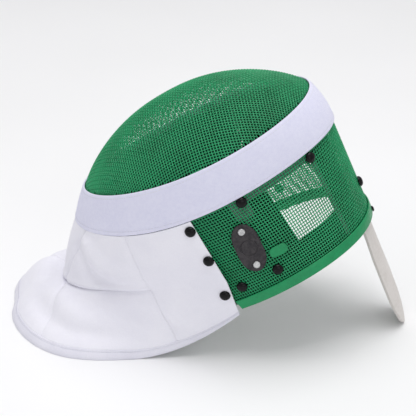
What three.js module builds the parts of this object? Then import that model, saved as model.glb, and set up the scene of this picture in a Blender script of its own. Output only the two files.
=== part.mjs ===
// Fencing mask lying on the hem of its bib and the tip of its back tongue.
// Millimetres, +Z up. +X runs from the chin to the crown, -Y is the wearer's left.
// The mesh cage is drawn in its own frame, turned about Y by TILT: there x runs from
// chin to crown, y to the wearer's right and z out through the face. The bib and the
// tongue reach the surface that the mask lies on, so they are drawn in the level frame.
import * as THREE from 'three';
import { mergeVertices } from 'three/addons/utils/BufferGeometryUtils.js';

const { degToRad, lerp, clamp, smoothstep } = THREE.MathUtils;

// Stance and clearances
const TILT = degToRad(24);
const GAP = 0.3;

// Walls, each as its outer and inner distance from the line of the cage
const MESH = { outer: 0, inner: -2.4 };
const BAND = { outer: 2.5, inner: GAP };
const BIB = { outer: 2.5, inner: GAP };
const HEM = { outer: 2.7, inner: -0.5 };
const PAD = { outer: -3.1, inner: -9.5 };
const TAPE = { outer: -3.0, inner: -4.2 };

// Cage: ovals at the rear rim, the back seam of the band and its front seam.
// At angle a from the crown: along = centre + reach cos a (1 + square sin2 a),
// across = half sin a (1 - egg cos a)(1 + square cos2 a),
// height = lift + nod cos a + bow cos2 a + wave cos 3a.
const OVALS = {
  rim: { centre: 90.4, reach: 119.5, half: 101.6, egg: -0.05, square: 0.01, lift: 41.1, nod: 7.0, bow: -0.8, wave: -1.1 },
  back: { centre: 65.5, reach: 145.7, half: 103.0, egg: 0.01, square: -0.035, lift: 151.3, nod: -0.7, bow: 9.9, wave: -1.7 },
  front: { centre: 73.2, reach: 129.1, half: 97.6, egg: -0.075, square: -0.025, lift: 194.3, nod: 4.9, bow: 3.3, wave: -0.6 },
};
const DOME_HEIGHT = 56.4;
const DOME_FULLNESS = 0.874;
const BAND_BULGE = { chin: 0.4, crown: 2.6 };
const SPLICE = 1.4;
const CHIN_CUT = 0.55;
const COLUMNS = 44;

// Rim binding: a channel over the rear edge of the mesh, from one end of the bib to the other
const RIM = { width: 11, inside: 8, wall: 1.3, end: 103.8 };

// Bib: level ovals at the waist seam and the hem.
// x = x0 + x1 cos a + x2 cos2 a, y = -sin a (y0 + y1 cos a + y2 cos2 a + y3 cos3 a), z = z0 + z1 cos a.
// rear, seam and pleat are the angles of the free edge, the side seam and the front seam.
const BIB_OVALS = {
  top: { rear: 94.8, seam: 127, pleat: 154 },
  waist: { x0: 88.6, x1: 243.6, x2: 0, y0: 109, y1: 10.8, y2: 0, y3: 0, z0: 109, z1: 65, rear: 105.1, seam: 125.9, pleat: 170 },
  hem: { x0: -59.2, x1: 175.4, x2: 20.5, y0: 99.5, y1: -27.8, y2: 54.8, y3: 81, z0: 0, z1: 0, rear: 58.6, seam: 78.7, pleat: 136 },
};
const HEM_LIFT = { height: 52, from: -75, to: 37 };
const HEM_WIDTH = 0.11;
const SEAM_GAP = 0.0045;
const COLLAR_PUFF = 2.5;
const SIDE_PUFF = 2.2;
const SKIRT_PUFF = 8;
const FAR_PUFF = 11;
const FAR_SWAY = 125;

// Tongue: a cambered strip from inside the crown out under the rim and down to the surface
const TONGUE_WALL = 3;
const TONGUE_ROWS = [
  { z: 178, x: 146.2, half: 30, camber: 5.5 },
  { z: 150, x: 158.2, half: 30, camber: 5.8 },
  { z: 127, x: 168.2, half: 30, camber: 6.4 },
  { z: 105, x: 177.4, half: 30, camber: 7.4 },
  { z: 85, x: 185.8, half: 30, camber: 8.8 },
  { z: 60, x: 196.4, half: 30, camber: 9.4 },
  { z: 34, x: 206.4, half: 29.6, camber: 8.6 },
  { z: 20, x: 211, half: 27, camber: 6.4 },
  { z: 8, x: 214, half: 20.5, camber: 3.6 },
  { z: 2.2, x: 215, half: 13, camber: 1.6 },
  { z: 0, x: 215.3, half: 8, camber: 0.6 },
];

// Fastenings on the cage: bearing from the crown in degrees and height, 0 at the rim, 1 at the band.
// Those on the bib: turn from the free edge and height, 0 at the band, -1 at the waist.
const BUTTON = { radius: 5.7, height: 4 };
const BIB_BUTTONS = [[0.025, -0.125], [0.02, -0.595], [0.032, -1.305]];
const MESH_BUTTONS = [[73.1, 0.95], [36.2, 0.94], [77.3, 0.22], [96.2, 0.21]];
const CROWN_BUTTON = 0.33;
const PLATE = { angle: 81.9, up: 0.535, off: 0.8, length: 55, width: 29.5, thick: 1.3, rivets: 38.5, rivetRadius: 3.7 };
const DISC = { angle: 71.9, up: 0.38, off: 0.6, length: 20, width: 11.5, thick: 1.2 };

const FINISH = {
  wire: new THREE.MeshStandardMaterial({ color: 0x1f9a62, roughness: 0.42, metalness: 0.1 }),
  rim: new THREE.MeshStandardMaterial({ color: 0x21965f, roughness: 0.35, metalness: 0 }),
  band: new THREE.MeshStandardMaterial({ color: 0xd9daec, roughness: 0.85, metalness: 0 }),
  cloth: new THREE.MeshStandardMaterial({ color: 0xe9e9ef, roughness: 0.9, metalness: 0 }),
  black: new THREE.MeshStandardMaterial({ color: 0x101114, roughness: 0.22, metalness: 0 }),
  padding: new THREE.MeshStandardMaterial({ color: 0x0c0d12, roughness: 0.95, metalness: 0 }),
  navy: new THREE.MeshStandardMaterial({ color: 0x0b1030, roughness: 0.95, metalness: 0 }),
  tape: new THREE.MeshStandardMaterial({ color: 0x74777c, roughness: 0.9, metalness: 0 }),
  plate: new THREE.MeshStandardMaterial({ color: 0x55565a, roughness: 0.4, metalness: 0.9 }),
  steel: new THREE.MeshStandardMaterial({ color: 0xc9c9cc, roughness: 0.28, metalness: 1 }),
  tongue: new THREE.MeshStandardMaterial({ color: 0xd6d1cb, roughness: 0.5, metalness: 0 }),
};

// Point of an oval in the cage's frame
function ovalPoint(oval, angle) {
  const c = Math.cos(angle);
  const s = Math.sin(angle);
  return new THREE.Vector3(
    oval.centre + oval.reach * c * (1 + oval.square * s * s),
    -oval.half * s * (1 - oval.egg * c) * (1 + oval.square * c * c),
    oval.lift + oval.nod * c + oval.bow * c * c + oval.wave * Math.cos(3 * angle),
  );
}

// Point of the cage: up runs 0 to 1 over the side, to 2 over the band and to 3 at the top of the dome
function cagePoint(angle, up) {
  const back = ovalPoint(OVALS.back, angle);
  if (up <= 1) return ovalPoint(OVALS.rim, angle).lerp(back, up);
  const front = ovalPoint(OVALS.front, angle);
  const centre = new THREE.Vector3(OVALS.front.centre, 0, OVALS.front.lift);
  if (up <= 2) {
    const share = up - 1;
    const outward = front.clone().sub(centre).setZ(0).normalize();
    const bulge = lerp(BAND_BULGE.chin, BAND_BULGE.crown, (1 + Math.cos(angle)) / 2);
    return back.lerp(front, share).addScaledVector(outward, bulge * 4 * share * (1 - share));
  }
  const swing = (up - 2) * Math.PI / 2;
  const point = front.sub(centre).multiplyScalar(Math.cos(swing)).add(centre);
  point.z += DOME_HEIGHT * Math.pow(Math.sin(swing), 2 * DOME_FULLNESS);
  return point;
}

// The same point in the level frame
function levelPoint(point) {
  return point.applyAxisAngle(new THREE.Vector3(0, 1, 0), -TILT);
}

// Outward normal of a surface by central differences, kept inside the given span.
// At the top of the dome, where all columns meet, it is straight out through the face.
function normalAt(surface, a, b, low, high) {
  const step = 0.012;
  const b0 = Math.max(b - step, low);
  const b1 = Math.min(b + step, high);
  const along = surface(a + step, b).sub(surface(a - step, b));
  const up = surface(a, b1).sub(surface(a, b0));
  if (along.lengthSq() < 1e-6) return new THREE.Vector3(0, 0, 1);
  return up.cross(along).normalize();
}

// Closed mesh from triangles: shared points merged, empty faces dropped, faces turned outward
function closedMesh(name, points, faces, material) {
  let geometry = new THREE.BufferGeometry();
  geometry.setAttribute('position', new THREE.Float32BufferAttribute(points.flatMap((p) => p.toArray()), 3));
  geometry.setIndex(faces.flat());
  geometry = mergeVertices(geometry, 1e-3);
  const index = geometry.index.array;
  const position = geometry.attributes.position;
  const corner = (i) => new THREE.Vector3().fromBufferAttribute(position, i);
  const kept = [];
  let volume = 0;
  for (let i = 0; i < index.length; i += 3) {
    const [a, b, c] = [index[i], index[i + 1], index[i + 2]];
    if (a === b || b === c || c === a) continue;
    kept.push([a, b, c]);
    volume += corner(a).dot(corner(b).cross(corner(c)));
  }
  geometry.setIndex(kept.flatMap(([a, b, c]) => (volume > 0 ? [a, b, c] : [a, c, b])));
  geometry.computeVertexNormals();
  const mesh = new THREE.Mesh(geometry, material);
  mesh.name = name;
  return mesh;
}

function quad(faces, a, b, c, d) {
  faces.push([a, b, c], [a, c, d]);
}

// Even steps from one value to another, both in
function steps(from, to, count) {
  return Array.from({ length: count + 1 }, (_, i) => lerp(from, to, i / count));
}

// Wall over a surface: columns are angles, heights gives its rows at each one.
// With level set, the last row is set off sideways only, so that the edge lies flat.
// facing gives the height whose normal a row uses, so that two walls can share one at a seam.
function wall(name, material, options) {
  const { surface, columns, heights, span, thick, ring = false, level = false, facing = (up) => up } = options;
  const points = [];
  const faces = [];
  const rows = heights(columns[0]).length - 1;
  const stride = 2 * (rows + 1);
  for (const angle of columns) {
    heights(angle).forEach((up, j) => {
      const base = surface(angle, up);
      const normal = normalAt(surface, angle, facing(up), span[0], span[1]);
      if (level && j === rows) normal.setZ(0).normalize();
      points.push(base.clone().addScaledVector(normal, thick.outer));
      points.push(base.clone().addScaledVector(normal, thick.inner));
    });
  }
  const count = columns.length;
  const last = ring ? count : count - 1;
  for (let i = 0; i < last; i += 1) {
    const here = i * stride;
    const next = ((i + 1) % count) * stride;
    for (let j = 0; j < rows; j += 1) {
      const k = 2 * j;
      quad(faces, here + k, next + k, next + k + 2, here + k + 2);
      quad(faces, here + k + 3, next + k + 3, next + k + 1, here + k + 1);
    }
    quad(faces, here + 1, next + 1, next, here);
    quad(faces, here + 2 * rows, next + 2 * rows, next + 2 * rows + 1, here + 2 * rows + 1);
  }
  if (!ring) {
    const end = last * stride;
    for (let k = 0; k < 2 * rows; k += 2) {
      quad(faces, k, k + 2, k + 3, k + 1);
      quad(faces, end + k + 1, end + k + 3, end + k + 2, end + k);
    }
  }
  return closedMesh(name, points, faces, material);
}

// Every wall of the cage bends at the same angles, so that one lies evenly over the next
const RING = Array.from({ length: COLUMNS }, (_, i) => 2 * Math.PI * i / COLUMNS);

// The shared angles between two bearings in degrees, with the two ends
function bearings(from, to) {
  const step = 360 / COLUMNS;
  const inner = [];
  for (let i = Math.ceil((from + 2) / step); i * step < to - 2; i += 1) inner.push(i * step);
  return [from, ...inner, to].map(degToRad);
}

function cageWall(name, material, options) {
  return wall(name, material, { surface: cagePoint, span: [0, 3], ...options });
}

// Front mesh: the bulging face of the cage, tucked under the band
function frontMesh() {
  return cageWall('dome_mesh', FINISH.wire, {
    columns: RING, heights: () => [SPLICE + 0.06, 1.73, ...steps(2, 3, 7)], thick: MESH, ring: true,
  });
}

// Lower edge of the side mesh: above the rim channel, cut higher round the chin under the bib
function sideEdge(angle) {
  const fromChin = Math.abs(THREE.MathUtils.radToDeg(angle) - 180);
  return lerp(CHIN_CUT, 0.022, smoothstep(fromChin, 8, 180 - RIM.end));
}

function sideMesh() {
  return cageWall('side_mesh', FINISH.wire, {
    columns: RING, heights: (angle) => [...steps(sideEdge(angle), 1, 3), 1.2, SPLICE], thick: MESH, ring: true,
  });
}

function trimBand() {
  return cageWall('trim_band', FINISH.band, {
    columns: RING, heights: () => steps(1.012, 1.99, 4), span: [1, 2], thick: BAND, ring: true,
  });
}

// Rim binding: the channel's outline swept along the rear edge
function rimBand() {
  const out = GAP + RIM.wall;
  const inn = MESH.inner - GAP;
  const outline = [
    [out, 0], [out, RIM.width], [GAP, RIM.width], [GAP, RIM.wall],
    [inn, RIM.wall], [inn, RIM.inside], [inn - RIM.wall, RIM.inside], [inn - RIM.wall, 0],
  ];
  const points = [];
  const faces = [];
  const columns = bearings(-RIM.end, RIM.end);
  for (const angle of columns) {
    const base = cagePoint(angle, 0);
    const normal = normalAt(cagePoint, angle, 0, 0, 1);
    const rise = cagePoint(angle, 1).sub(base).normalize();
    for (const [off, up] of outline) {
      points.push(base.clone().addScaledVector(normal, off).addScaledVector(rise, up));
    }
  }
  const n = outline.length;
  for (let i = 0; i < columns.length - 1; i += 1) {
    for (let k = 0; k < n; k += 1) {
      const m = (k + 1) % n;
      quad(faces, i * n + k, (i + 1) * n + k, (i + 1) * n + m, i * n + m);
    }
  }
  const end = (columns.length - 1) * n;
  for (const [a, b, c, d] of [[0, 1, 2, 3], [0, 3, 4, 7], [4, 5, 6, 7]]) {
    quad(faces, a, b, c, d);
    quad(faces, end + d, end + c, end + b, end + a);
  }
  return closedMesh('rim_band', points, faces, FINISH.rim);
}

// Angle of one bib oval at turn 0 (free edge on the left) to 1 (front) to 2 (free edge on the right)
const SIDE_SHARE = 0.4;
const PLEAT_SHARE = 0.8;
function ovalAngle(oval, turn) {
  const near = turn <= 1 ? turn : 2 - turn;
  let angle = lerp(oval.pleat, 180, (near - PLEAT_SHARE) / (1 - PLEAT_SHARE));
  if (near < SIDE_SHARE) angle = lerp(oval.rear, oval.seam, near / SIDE_SHARE);
  else if (near < PLEAT_SHARE) {
    angle = lerp(oval.seam, oval.pleat, (near - SIDE_SHARE) / (PLEAT_SHARE - SIDE_SHARE));
  }
  return degToRad(turn <= 1 ? angle : 360 - angle);
}

function levelOval(oval, angle) {
  const c = Math.cos(angle);
  const s = Math.sin(angle);
  return new THREE.Vector3(
    oval.x0 + oval.x1 * c + oval.x2 * c * c,
    -s * (oval.y0 + oval.y1 * c + oval.y2 * c * c + oval.y3 * c * c * c),
    oval.z0 + oval.z1 * c,
  );
}

// The hem lies on the surface in front and climbs to the ends of the rim; it sways out on the right
function hemPoint(turn) {
  const angle = ovalAngle(BIB_OVALS.hem, turn);
  const point = levelOval(BIB_OVALS.hem, angle);
  const climb = clamp((point.x - HEM_LIFT.from) / (HEM_LIFT.to - HEM_LIFT.from), 0, 1);
  point.z = HEM_LIFT.height * climb * climb;
  if (turn > 1) point.x -= FAR_SWAY * (Math.sin(angle) * Math.min(Math.cos(angle), 0)) ** 2;
  return point;
}

// Bib surface in the level frame: up is 0 under the band, -1 at the waist and -2 at the hem
function bibPoint(turn, up) {
  const waist = levelOval(BIB_OVALS.waist, ovalAngle(BIB_OVALS.waist, turn));
  const front = smoothstep(turn <= 1 ? turn : 2 - turn, 0.1, 0.9);
  if (up >= -1) {
    const top = levelPoint(cagePoint(ovalAngle(BIB_OVALS.top, turn), 0.995));
    const outward = waist.clone().setZ(0).normalize();
    const puff = lerp(SIDE_PUFF, COLLAR_PUFF, front) * Math.sin(-Math.PI * up);
    return top.lerp(waist, -up).addScaledVector(outward, puff);
  }
  const share = -up - 1;
  const point = waist.lerp(hemPoint(turn), share);
  const far = smoothstep(turn, 1, 1.15) * (1 - smoothstep(turn, 1.45, 1.9));
  point.z += (SKIRT_PUFF * front + FAR_PUFF * far) * Math.sin(Math.PI * share);
  return point;
}

function bibPanel(name, columns, heights, thick = BIB, level = false) {
  const facing = (up) => (Math.abs(up + 1) < 2 * SEAM_GAP ? -1 : up);
  return wall(name, FINISH.cloth, {
    surface: bibPoint, columns, heights: () => heights, span: [-2, 0], thick, level, facing,
  });
}

function bib() {
  const group = new THREE.Group();
  const hem = HEM_WIDTH - 2;
  const cut = SEAM_GAP;
  const side = steps(-cut, hem + 2 * cut, 8);
  const collar = steps(-cut, cut - 1, 4);
  const skirt = steps(-cut - 1, hem + 2 * cut, 4);
  const turns = {
    left: steps(0, SIDE_SHARE, 6),
    frontLeft: steps(SIDE_SHARE, PLEAT_SHARE, 6),
    front: steps(PLEAT_SHARE, 2 - PLEAT_SHARE, 8),
    frontRight: steps(2 - PLEAT_SHARE, 2 - SIDE_SHARE, 6),
    right: steps(2 - SIDE_SHARE, 2, 6),
  };
  const trimmed = (columns, first, last) => {
    const ends = [columns[0] + first, columns.at(-1) - last];
    return [ends[0], ...columns.slice(1, -1), ends[1]];
  };
  const { left, frontLeft, front, frontRight, right } = turns;
  group.add(
    bibPanel('bib_side_left', trimmed(left, 0, cut), side),
    bibPanel('collar_left', trimmed(frontLeft, cut, cut), collar),
    bibPanel('skirt_left', trimmed(frontLeft, cut, cut), skirt),
    bibPanel('collar_front', trimmed(front, cut, cut), collar),
    bibPanel('skirt_front', trimmed(front, cut, cut), skirt),
    bibPanel('collar_right', trimmed(frontRight, cut, cut), collar),
    bibPanel('skirt_right', trimmed(frontRight, cut, cut), skirt),
    bibPanel('bib_side_right', trimmed(right, cut, 0), side),
  );
  const around = Object.values(turns).flatMap((columns, i) => (i ? columns.slice(1) : columns));
  group.add(bibPanel('hem_binding', around, [hem, -2], HEM, true));
  return group;
}

// The tongue in the level frame: rows run down it, columns across its outer face and its inner one
function tongue() {
  const points = [];
  const faces = [];
  const across = steps(-1, 1, 8);
  for (const { z, x, half, camber } of TONGUE_ROWS) {
    for (const a of across) {
      const face = x - camber * a * a;
      points.push(new THREE.Vector3(face, a * half, z), new THREE.Vector3(face - TONGUE_WALL, a * half, z));
    }
  }
  const stride = 2 * across.length;
  for (let i = 0; i < TONGUE_ROWS.length - 1; i += 1) {
    const here = i * stride;
    const next = here + stride;
    const edge = stride - 2;
    for (let k = 0; k < edge; k += 2) {
      quad(faces, here + k, here + k + 2, next + k + 2, next + k);
      quad(faces, next + k + 1, next + k + 3, here + k + 3, here + k + 1);
    }
    quad(faces, here, next, next + 1, here + 1);
    quad(faces, here + edge + 1, next + edge + 1, next + edge, here + edge);
  }
  const foot = (TONGUE_ROWS.length - 1) * stride;
  for (let k = 0; k < stride - 2; k += 2) {
    quad(faces, k + 1, k + 3, k + 2, k);
    quad(faces, foot + k, foot + k + 2, foot + k + 3, foot + k + 1);
  }
  return closedMesh('tongue', points, faces, FINISH.tongue);
}

// Stand a piece on a surface with its own +Z outward and its +Y up the wall
function seat(mesh, surface, across, up, off) {
  const normal = normalAt(surface, across, up, -2, 3);
  const rise = new THREE.Vector3(0, 0, 1).projectOnPlane(normal).normalize();
  const side = rise.clone().cross(normal).normalize();
  mesh.quaternion.setFromRotationMatrix(new THREE.Matrix4().makeBasis(side, rise, normal));
  mesh.position.copy(surface(across, up)).addScaledVector(normal, off);
  return mesh;
}

// Domed button, its flat back on z = 0
function button(name, radius = BUTTON.radius, height = BUTTON.height) {
  const outline = [[0, 0], [1, 0], [1, 0.2], [0.84, 0.62], [0.5, 0.9], [0, 1]];
  const profile = outline.map(([r, h]) => new THREE.Vector2(r * radius, h * height));
  const geometry = new THREE.LatheGeometry(profile, 12).rotateX(Math.PI / 2);
  const mesh = new THREE.Mesh(geometry, FINISH.black);
  mesh.name = name;
  return mesh;
}

// Flat plate with a waistless pointed-oval outline, long way up the wall
function plate(name, material, { length, width, thick }, nose) {
  const shape = new THREE.Shape();
  shape.moveTo(-nose, -length / 2);
  shape.lineTo(nose, -length / 2);
  shape.quadraticCurveTo(width * 0.36, -length * 0.44, width / 2, -length * 0.14);
  shape.lineTo(width / 2, length * 0.14);
  shape.quadraticCurveTo(width * 0.36, length * 0.44, nose, length / 2);
  shape.lineTo(-nose, length / 2);
  shape.quadraticCurveTo(-width * 0.36, length * 0.44, -width / 2, length * 0.14);
  shape.lineTo(-width / 2, -length * 0.14);
  shape.quadraticCurveTo(-width * 0.36, -length * 0.44, -nose, -length / 2);
  const mesh = new THREE.Mesh(
    new THREE.ExtrudeGeometry(shape, { depth: thick, bevelEnabled: false, curveSegments: 4 }),
    material,
  );
  mesh.name = name;
  return mesh;
}

function fastenings() {
  const group = new THREE.Group();
  const onCage = (piece, bearing, up, off) => group.add(seat(piece, cagePoint, degToRad(bearing), up, off));
  for (const [side, sign] of [['left', 1], ['right', -1]]) {
    MESH_BUTTONS.forEach(([bearing, up], i) => {
      onCage(button(`mesh_button_${side}_${i + 1}`), sign * bearing, up, GAP);
    });
  }
  onCage(button('crown_button'), 0, CROWN_BUTTON, GAP);
  onCage(button('tongue_rivet', 3.2, 2), 0, 0.022, GAP * 2 + RIM.wall);
  onCage(plate('strap_plate', FINISH.plate, PLATE, 4.5), PLATE.angle, PLATE.up, PLATE.off);
  [-1, 1].forEach((end, i) => {
    const rivet = button(`plate_rivet_${i + 1}`, PLATE.rivetRadius, 1.8);
    rivet.material = FINISH.steel;
    onCage(rivet, PLATE.angle, PLATE.up, PLATE.off + PLATE.thick + GAP);
    rivet.translateY(end * PLATE.rivets / 2);
  });
  const disc = plate('oval_plate', FINISH.rim, DISC, 3.5);
  onCage(disc, DISC.angle, DISC.up, DISC.off);
  disc.rotateZ(Math.PI / 2);
  return group;
}

function bibButtons() {
  const group = new THREE.Group();
  for (const [side, mirror] of [['left', (turn) => turn], ['right', (turn) => 2 - turn]]) {
    BIB_BUTTONS.forEach(([turn, up], i) => {
      group.add(seat(button(`bib_button_${side}_${i + 1}`), bibPoint, mirror(turn), up, BIB.outer + GAP));
    });
  }
  return group;
}

// Height of a pad's edge against bearing: straight between the named corners
function edgeLine(corners) {
  return (angle) => {
    const bearing = THREE.MathUtils.radToDeg(angle);
    const i = Math.max(corners.findIndex(([b]) => b > bearing), 1);
    const [b0, up0] = corners[i - 1];
    const [b1, up1] = corners[i] ?? corners[i - 1];
    return b1 === b0 ? up0 : lerp(up0, up1, clamp((bearing - b0) / (b1 - b0), 0, 1));
  };
}

const PAD_ROWS = [1.3, 1.6, 1.9];
const PAD_LOW = 0.085;

// Linings that show through the mesh: navy round the chin, black at brow level, at the cheeks and the crown
function linings() {
  const group = new THREE.Group();
  const cheekTop = edgeLine([[37, 0.37], [61.5, 0.38], [62.5, 0.9], [71, 0.9], [89, 0.39], [93, 0.39], [106.5, 0.355]]);
  const chinLow = edgeLine([[74, 0.98], [93, 0.42], [120, 0.36], [180, 0.62], [240, 0.36], [267, 0.42], [286, 0.98]]);
  group.add(
    cageWall('chin_pad', FINISH.navy, {
      columns: bearings(76, 284), heights: (angle) => [...steps(chinLow(angle), 1, 3), ...PAD_ROWS], thick: PAD,
    }),
    cageWall('brow_pad', FINISH.padding, {
      columns: bearings(-75, 75), heights: () => [1.06, ...PAD_ROWS], thick: PAD,
    }),
    cageWall('cheek_pad', FINISH.padding, {
      columns: [37, 45, 53, 61, 63, 68, 73, 80, 87, 93, 99, 106.5].map(degToRad),
      heights: (angle) => steps(PAD_LOW, cheekTop(angle), 4),
      thick: PAD,
    }),
    cageWall('cheek_pad_right', FINISH.padding, {
      columns: bearings(-71, -31), heights: () => steps(0.42, 0.98, 4), thick: TAPE,
    }),
    cageWall('crown_lining', FINISH.padding, {
      columns: bearings(19, 32.5), heights: () => steps(PAD_LOW, 0.98, 4), thick: TAPE,
    }),
    tape('lining_tape_back', 33, 36.2, 0.2, 0.99),
    tape('lining_tape_top', 36.6, 70, 0.92, 0.99),
  );
  return group;
}

function tape(name, from, to, low, high) {
  return cageWall(name, FINISH.tape, {
    columns: bearings(from, to), heights: () => steps(low, high, 2), thick: TAPE,
  });
}

// The whole mask, turned to its lying stance and set with the middle of its footprint on the origin
const cage = new THREE.Group();
cage.add(frontMesh(), sideMesh(), trimBand(), rimBand(), fastenings(), linings());
cage.rotation.y = -TILT;
const mask = new THREE.Group();
mask.add(cage, bib(), bibButtons(), tongue());
const box = new THREE.Box3().setFromObject(mask, true);
const middle = box.getCenter(new THREE.Vector3());
mask.position.set(-middle.x, -middle.y, -box.min.z);

const part = new THREE.Group();
part.add(mask);
export default part;
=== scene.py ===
import logging
import math
from contextlib import contextmanager
from dataclasses import dataclass
from enum import Enum
from typing import Callable, Iterator, Optional, Sequence, Union

import bpy
import numpy as np
from mathutils import Matrix, Vector


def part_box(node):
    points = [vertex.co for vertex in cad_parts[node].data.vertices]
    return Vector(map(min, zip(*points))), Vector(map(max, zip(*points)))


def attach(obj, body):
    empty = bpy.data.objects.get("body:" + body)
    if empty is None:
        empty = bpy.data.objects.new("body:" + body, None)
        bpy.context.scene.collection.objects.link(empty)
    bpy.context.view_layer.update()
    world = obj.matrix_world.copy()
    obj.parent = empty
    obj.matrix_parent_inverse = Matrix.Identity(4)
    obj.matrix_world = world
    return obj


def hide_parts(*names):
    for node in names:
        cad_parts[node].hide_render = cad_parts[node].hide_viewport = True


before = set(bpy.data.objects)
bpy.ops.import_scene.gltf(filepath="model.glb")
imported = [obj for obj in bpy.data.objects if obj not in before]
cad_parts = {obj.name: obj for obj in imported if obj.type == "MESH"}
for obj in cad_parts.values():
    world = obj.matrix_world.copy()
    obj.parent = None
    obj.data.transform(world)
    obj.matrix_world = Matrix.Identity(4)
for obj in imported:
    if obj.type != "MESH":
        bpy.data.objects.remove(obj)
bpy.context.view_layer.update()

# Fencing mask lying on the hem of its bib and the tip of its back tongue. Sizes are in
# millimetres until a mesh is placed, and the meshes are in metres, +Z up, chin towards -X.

LOG = logging.getLogger("mask")
Array = np.ndarray
Colour = tuple[float, float, float]
Outline = tuple[tuple[float, float], ...]
Lines = list[tuple[Array, bool]]

MM = 0.001
TILT = math.radians(24)
TONGUE_TIP = 215.3

# Millimetres of cloth, about, for a step of 1 in turn and in height number on the bib, and in
# degrees and in height number on the cage. The weave follows both, the bib's folds the first.
BIB_SCALE = np.array([180.0, 75.0])
CAGE_SCALE = np.array([2.0, 110.0])


# numbers and shapes


def smooth(value: Array, low: float, high: float) -> Array:
    """Rise softly from 0 at low to 1 at high."""
    share = np.clip((np.asarray(value, float) - low) / (high - low), 0, 1)
    return share * share * (3 - 2 * share)


def bell(value: Array, centre: float, spread: float) -> Array:
    """Round hump of height 1 at centre, nearly gone two spreads away."""
    return np.exp(-(((np.asarray(value, float) - centre) / spread) ** 2))


def unit(vectors: Array) -> Array:
    """Scale vectors to length 1."""
    return vectors / np.maximum(np.linalg.norm(vectors, axis=-1, keepdims=True), 1e-9)


def srgb(red: int, green: int, blue: int) -> Colour:
    """Linear colour of a screen colour given from 0 to 255."""

    def linear(level: int) -> float:
        """Undo the screen curve of one channel."""
        share = level / 255
        return share / 12.92 if share <= 0.04045 else ((share + 0.055) / 1.055) ** 2.4

    return (linear(red), linear(green), linear(blue))


def placed(points: Array) -> Array:
    """Move level points in millimetres to their place, in metres."""
    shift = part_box("tongue")[1][0] / MM - TONGUE_TIP
    return (points + np.array([shift, 0, 0])) * MM


def levelled(points: Array) -> Array:
    """Turn points or directions of the cage's frame into the level frame."""
    x, y, z = np.moveaxis(np.asarray(points, float), -1, 0)
    cosine, sine = math.cos(TILT), math.sin(TILT)
    return np.stack([x * cosine - z * sine, y, x * sine + z * cosine], axis=-1)


Surface = Callable[[Array, Array], Array]


@dataclass(frozen=True)
class Loop:
    """Closed outline that is swept along the mask, as pairs of numbers in order."""

    pairs: Outline

    @property
    def count(self) -> int:
        """How many sides it has."""
        return len(self.pairs)

    def at(self, share: Array) -> tuple[Array, Array]:
        """Give both numbers at shares 0 to 1 of the way round.

        Args:
            share: share of the way round the outline.

        Returns:
            The first and the second number at each share.
        """
        first, second = np.array([*self.pairs, self.pairs[0]], float).T
        mark = np.arange(self.count + 1)
        here = share * self.count
        return np.interp(here, mark, first), np.interp(here, mark, second)


def stitch_marks(count: int, whole: float) -> Array:
    """Start, middle and end of each stitch of an even row along a whole length."""
    return (np.array([0.14, 0.5, 0.86]) + np.arange(count)[:, None]) * whole / count


def outward(surface: Surface, across: Array, up: Array, low: float, high: float) -> Array:
    """Outward normals of a surface by small steps.

    Args:
        surface: gives a point for each pair of numbers.
        across: angle or turn of each point.
        up: height number of each point.
        low: least height number that the surface has.
        high: greatest height number that the surface has.

    Returns:
        One unit vector for each point.
    """
    step = 0.012
    along = surface(across + step, up) - surface(across - step, up)
    rise = surface(across, np.clip(up + step, low, high)) - surface(
        across, np.clip(up - step, low, high)
    )
    return unit(np.cross(rise, along))


@dataclass(frozen=True)
class Oval:
    """Closed line round the cage, by its angle from the crown."""

    centre: float
    reach: float
    half: float
    egg: float
    square: float
    lift: float
    nod: float
    bow: float
    wave: float

    def at(self, angle: Array) -> Array:
        """Give the points of the oval at some angles.

        Args:
            angle: angles in radians, 0 at the crown and a quarter turn at the wearer's left.

        Returns:
            Points in the cage's frame.
        """
        c, s = np.cos(angle), np.sin(angle)
        return np.stack(
            [
                self.centre + self.reach * c * (1 + self.square * s * s),
                -self.half * s * (1 - self.egg * c) * (1 + self.square * c * c),
                self.lift + self.nod * c + self.bow * c * c + self.wave * np.cos(3 * angle),
            ],
            axis=-1,
        )


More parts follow.
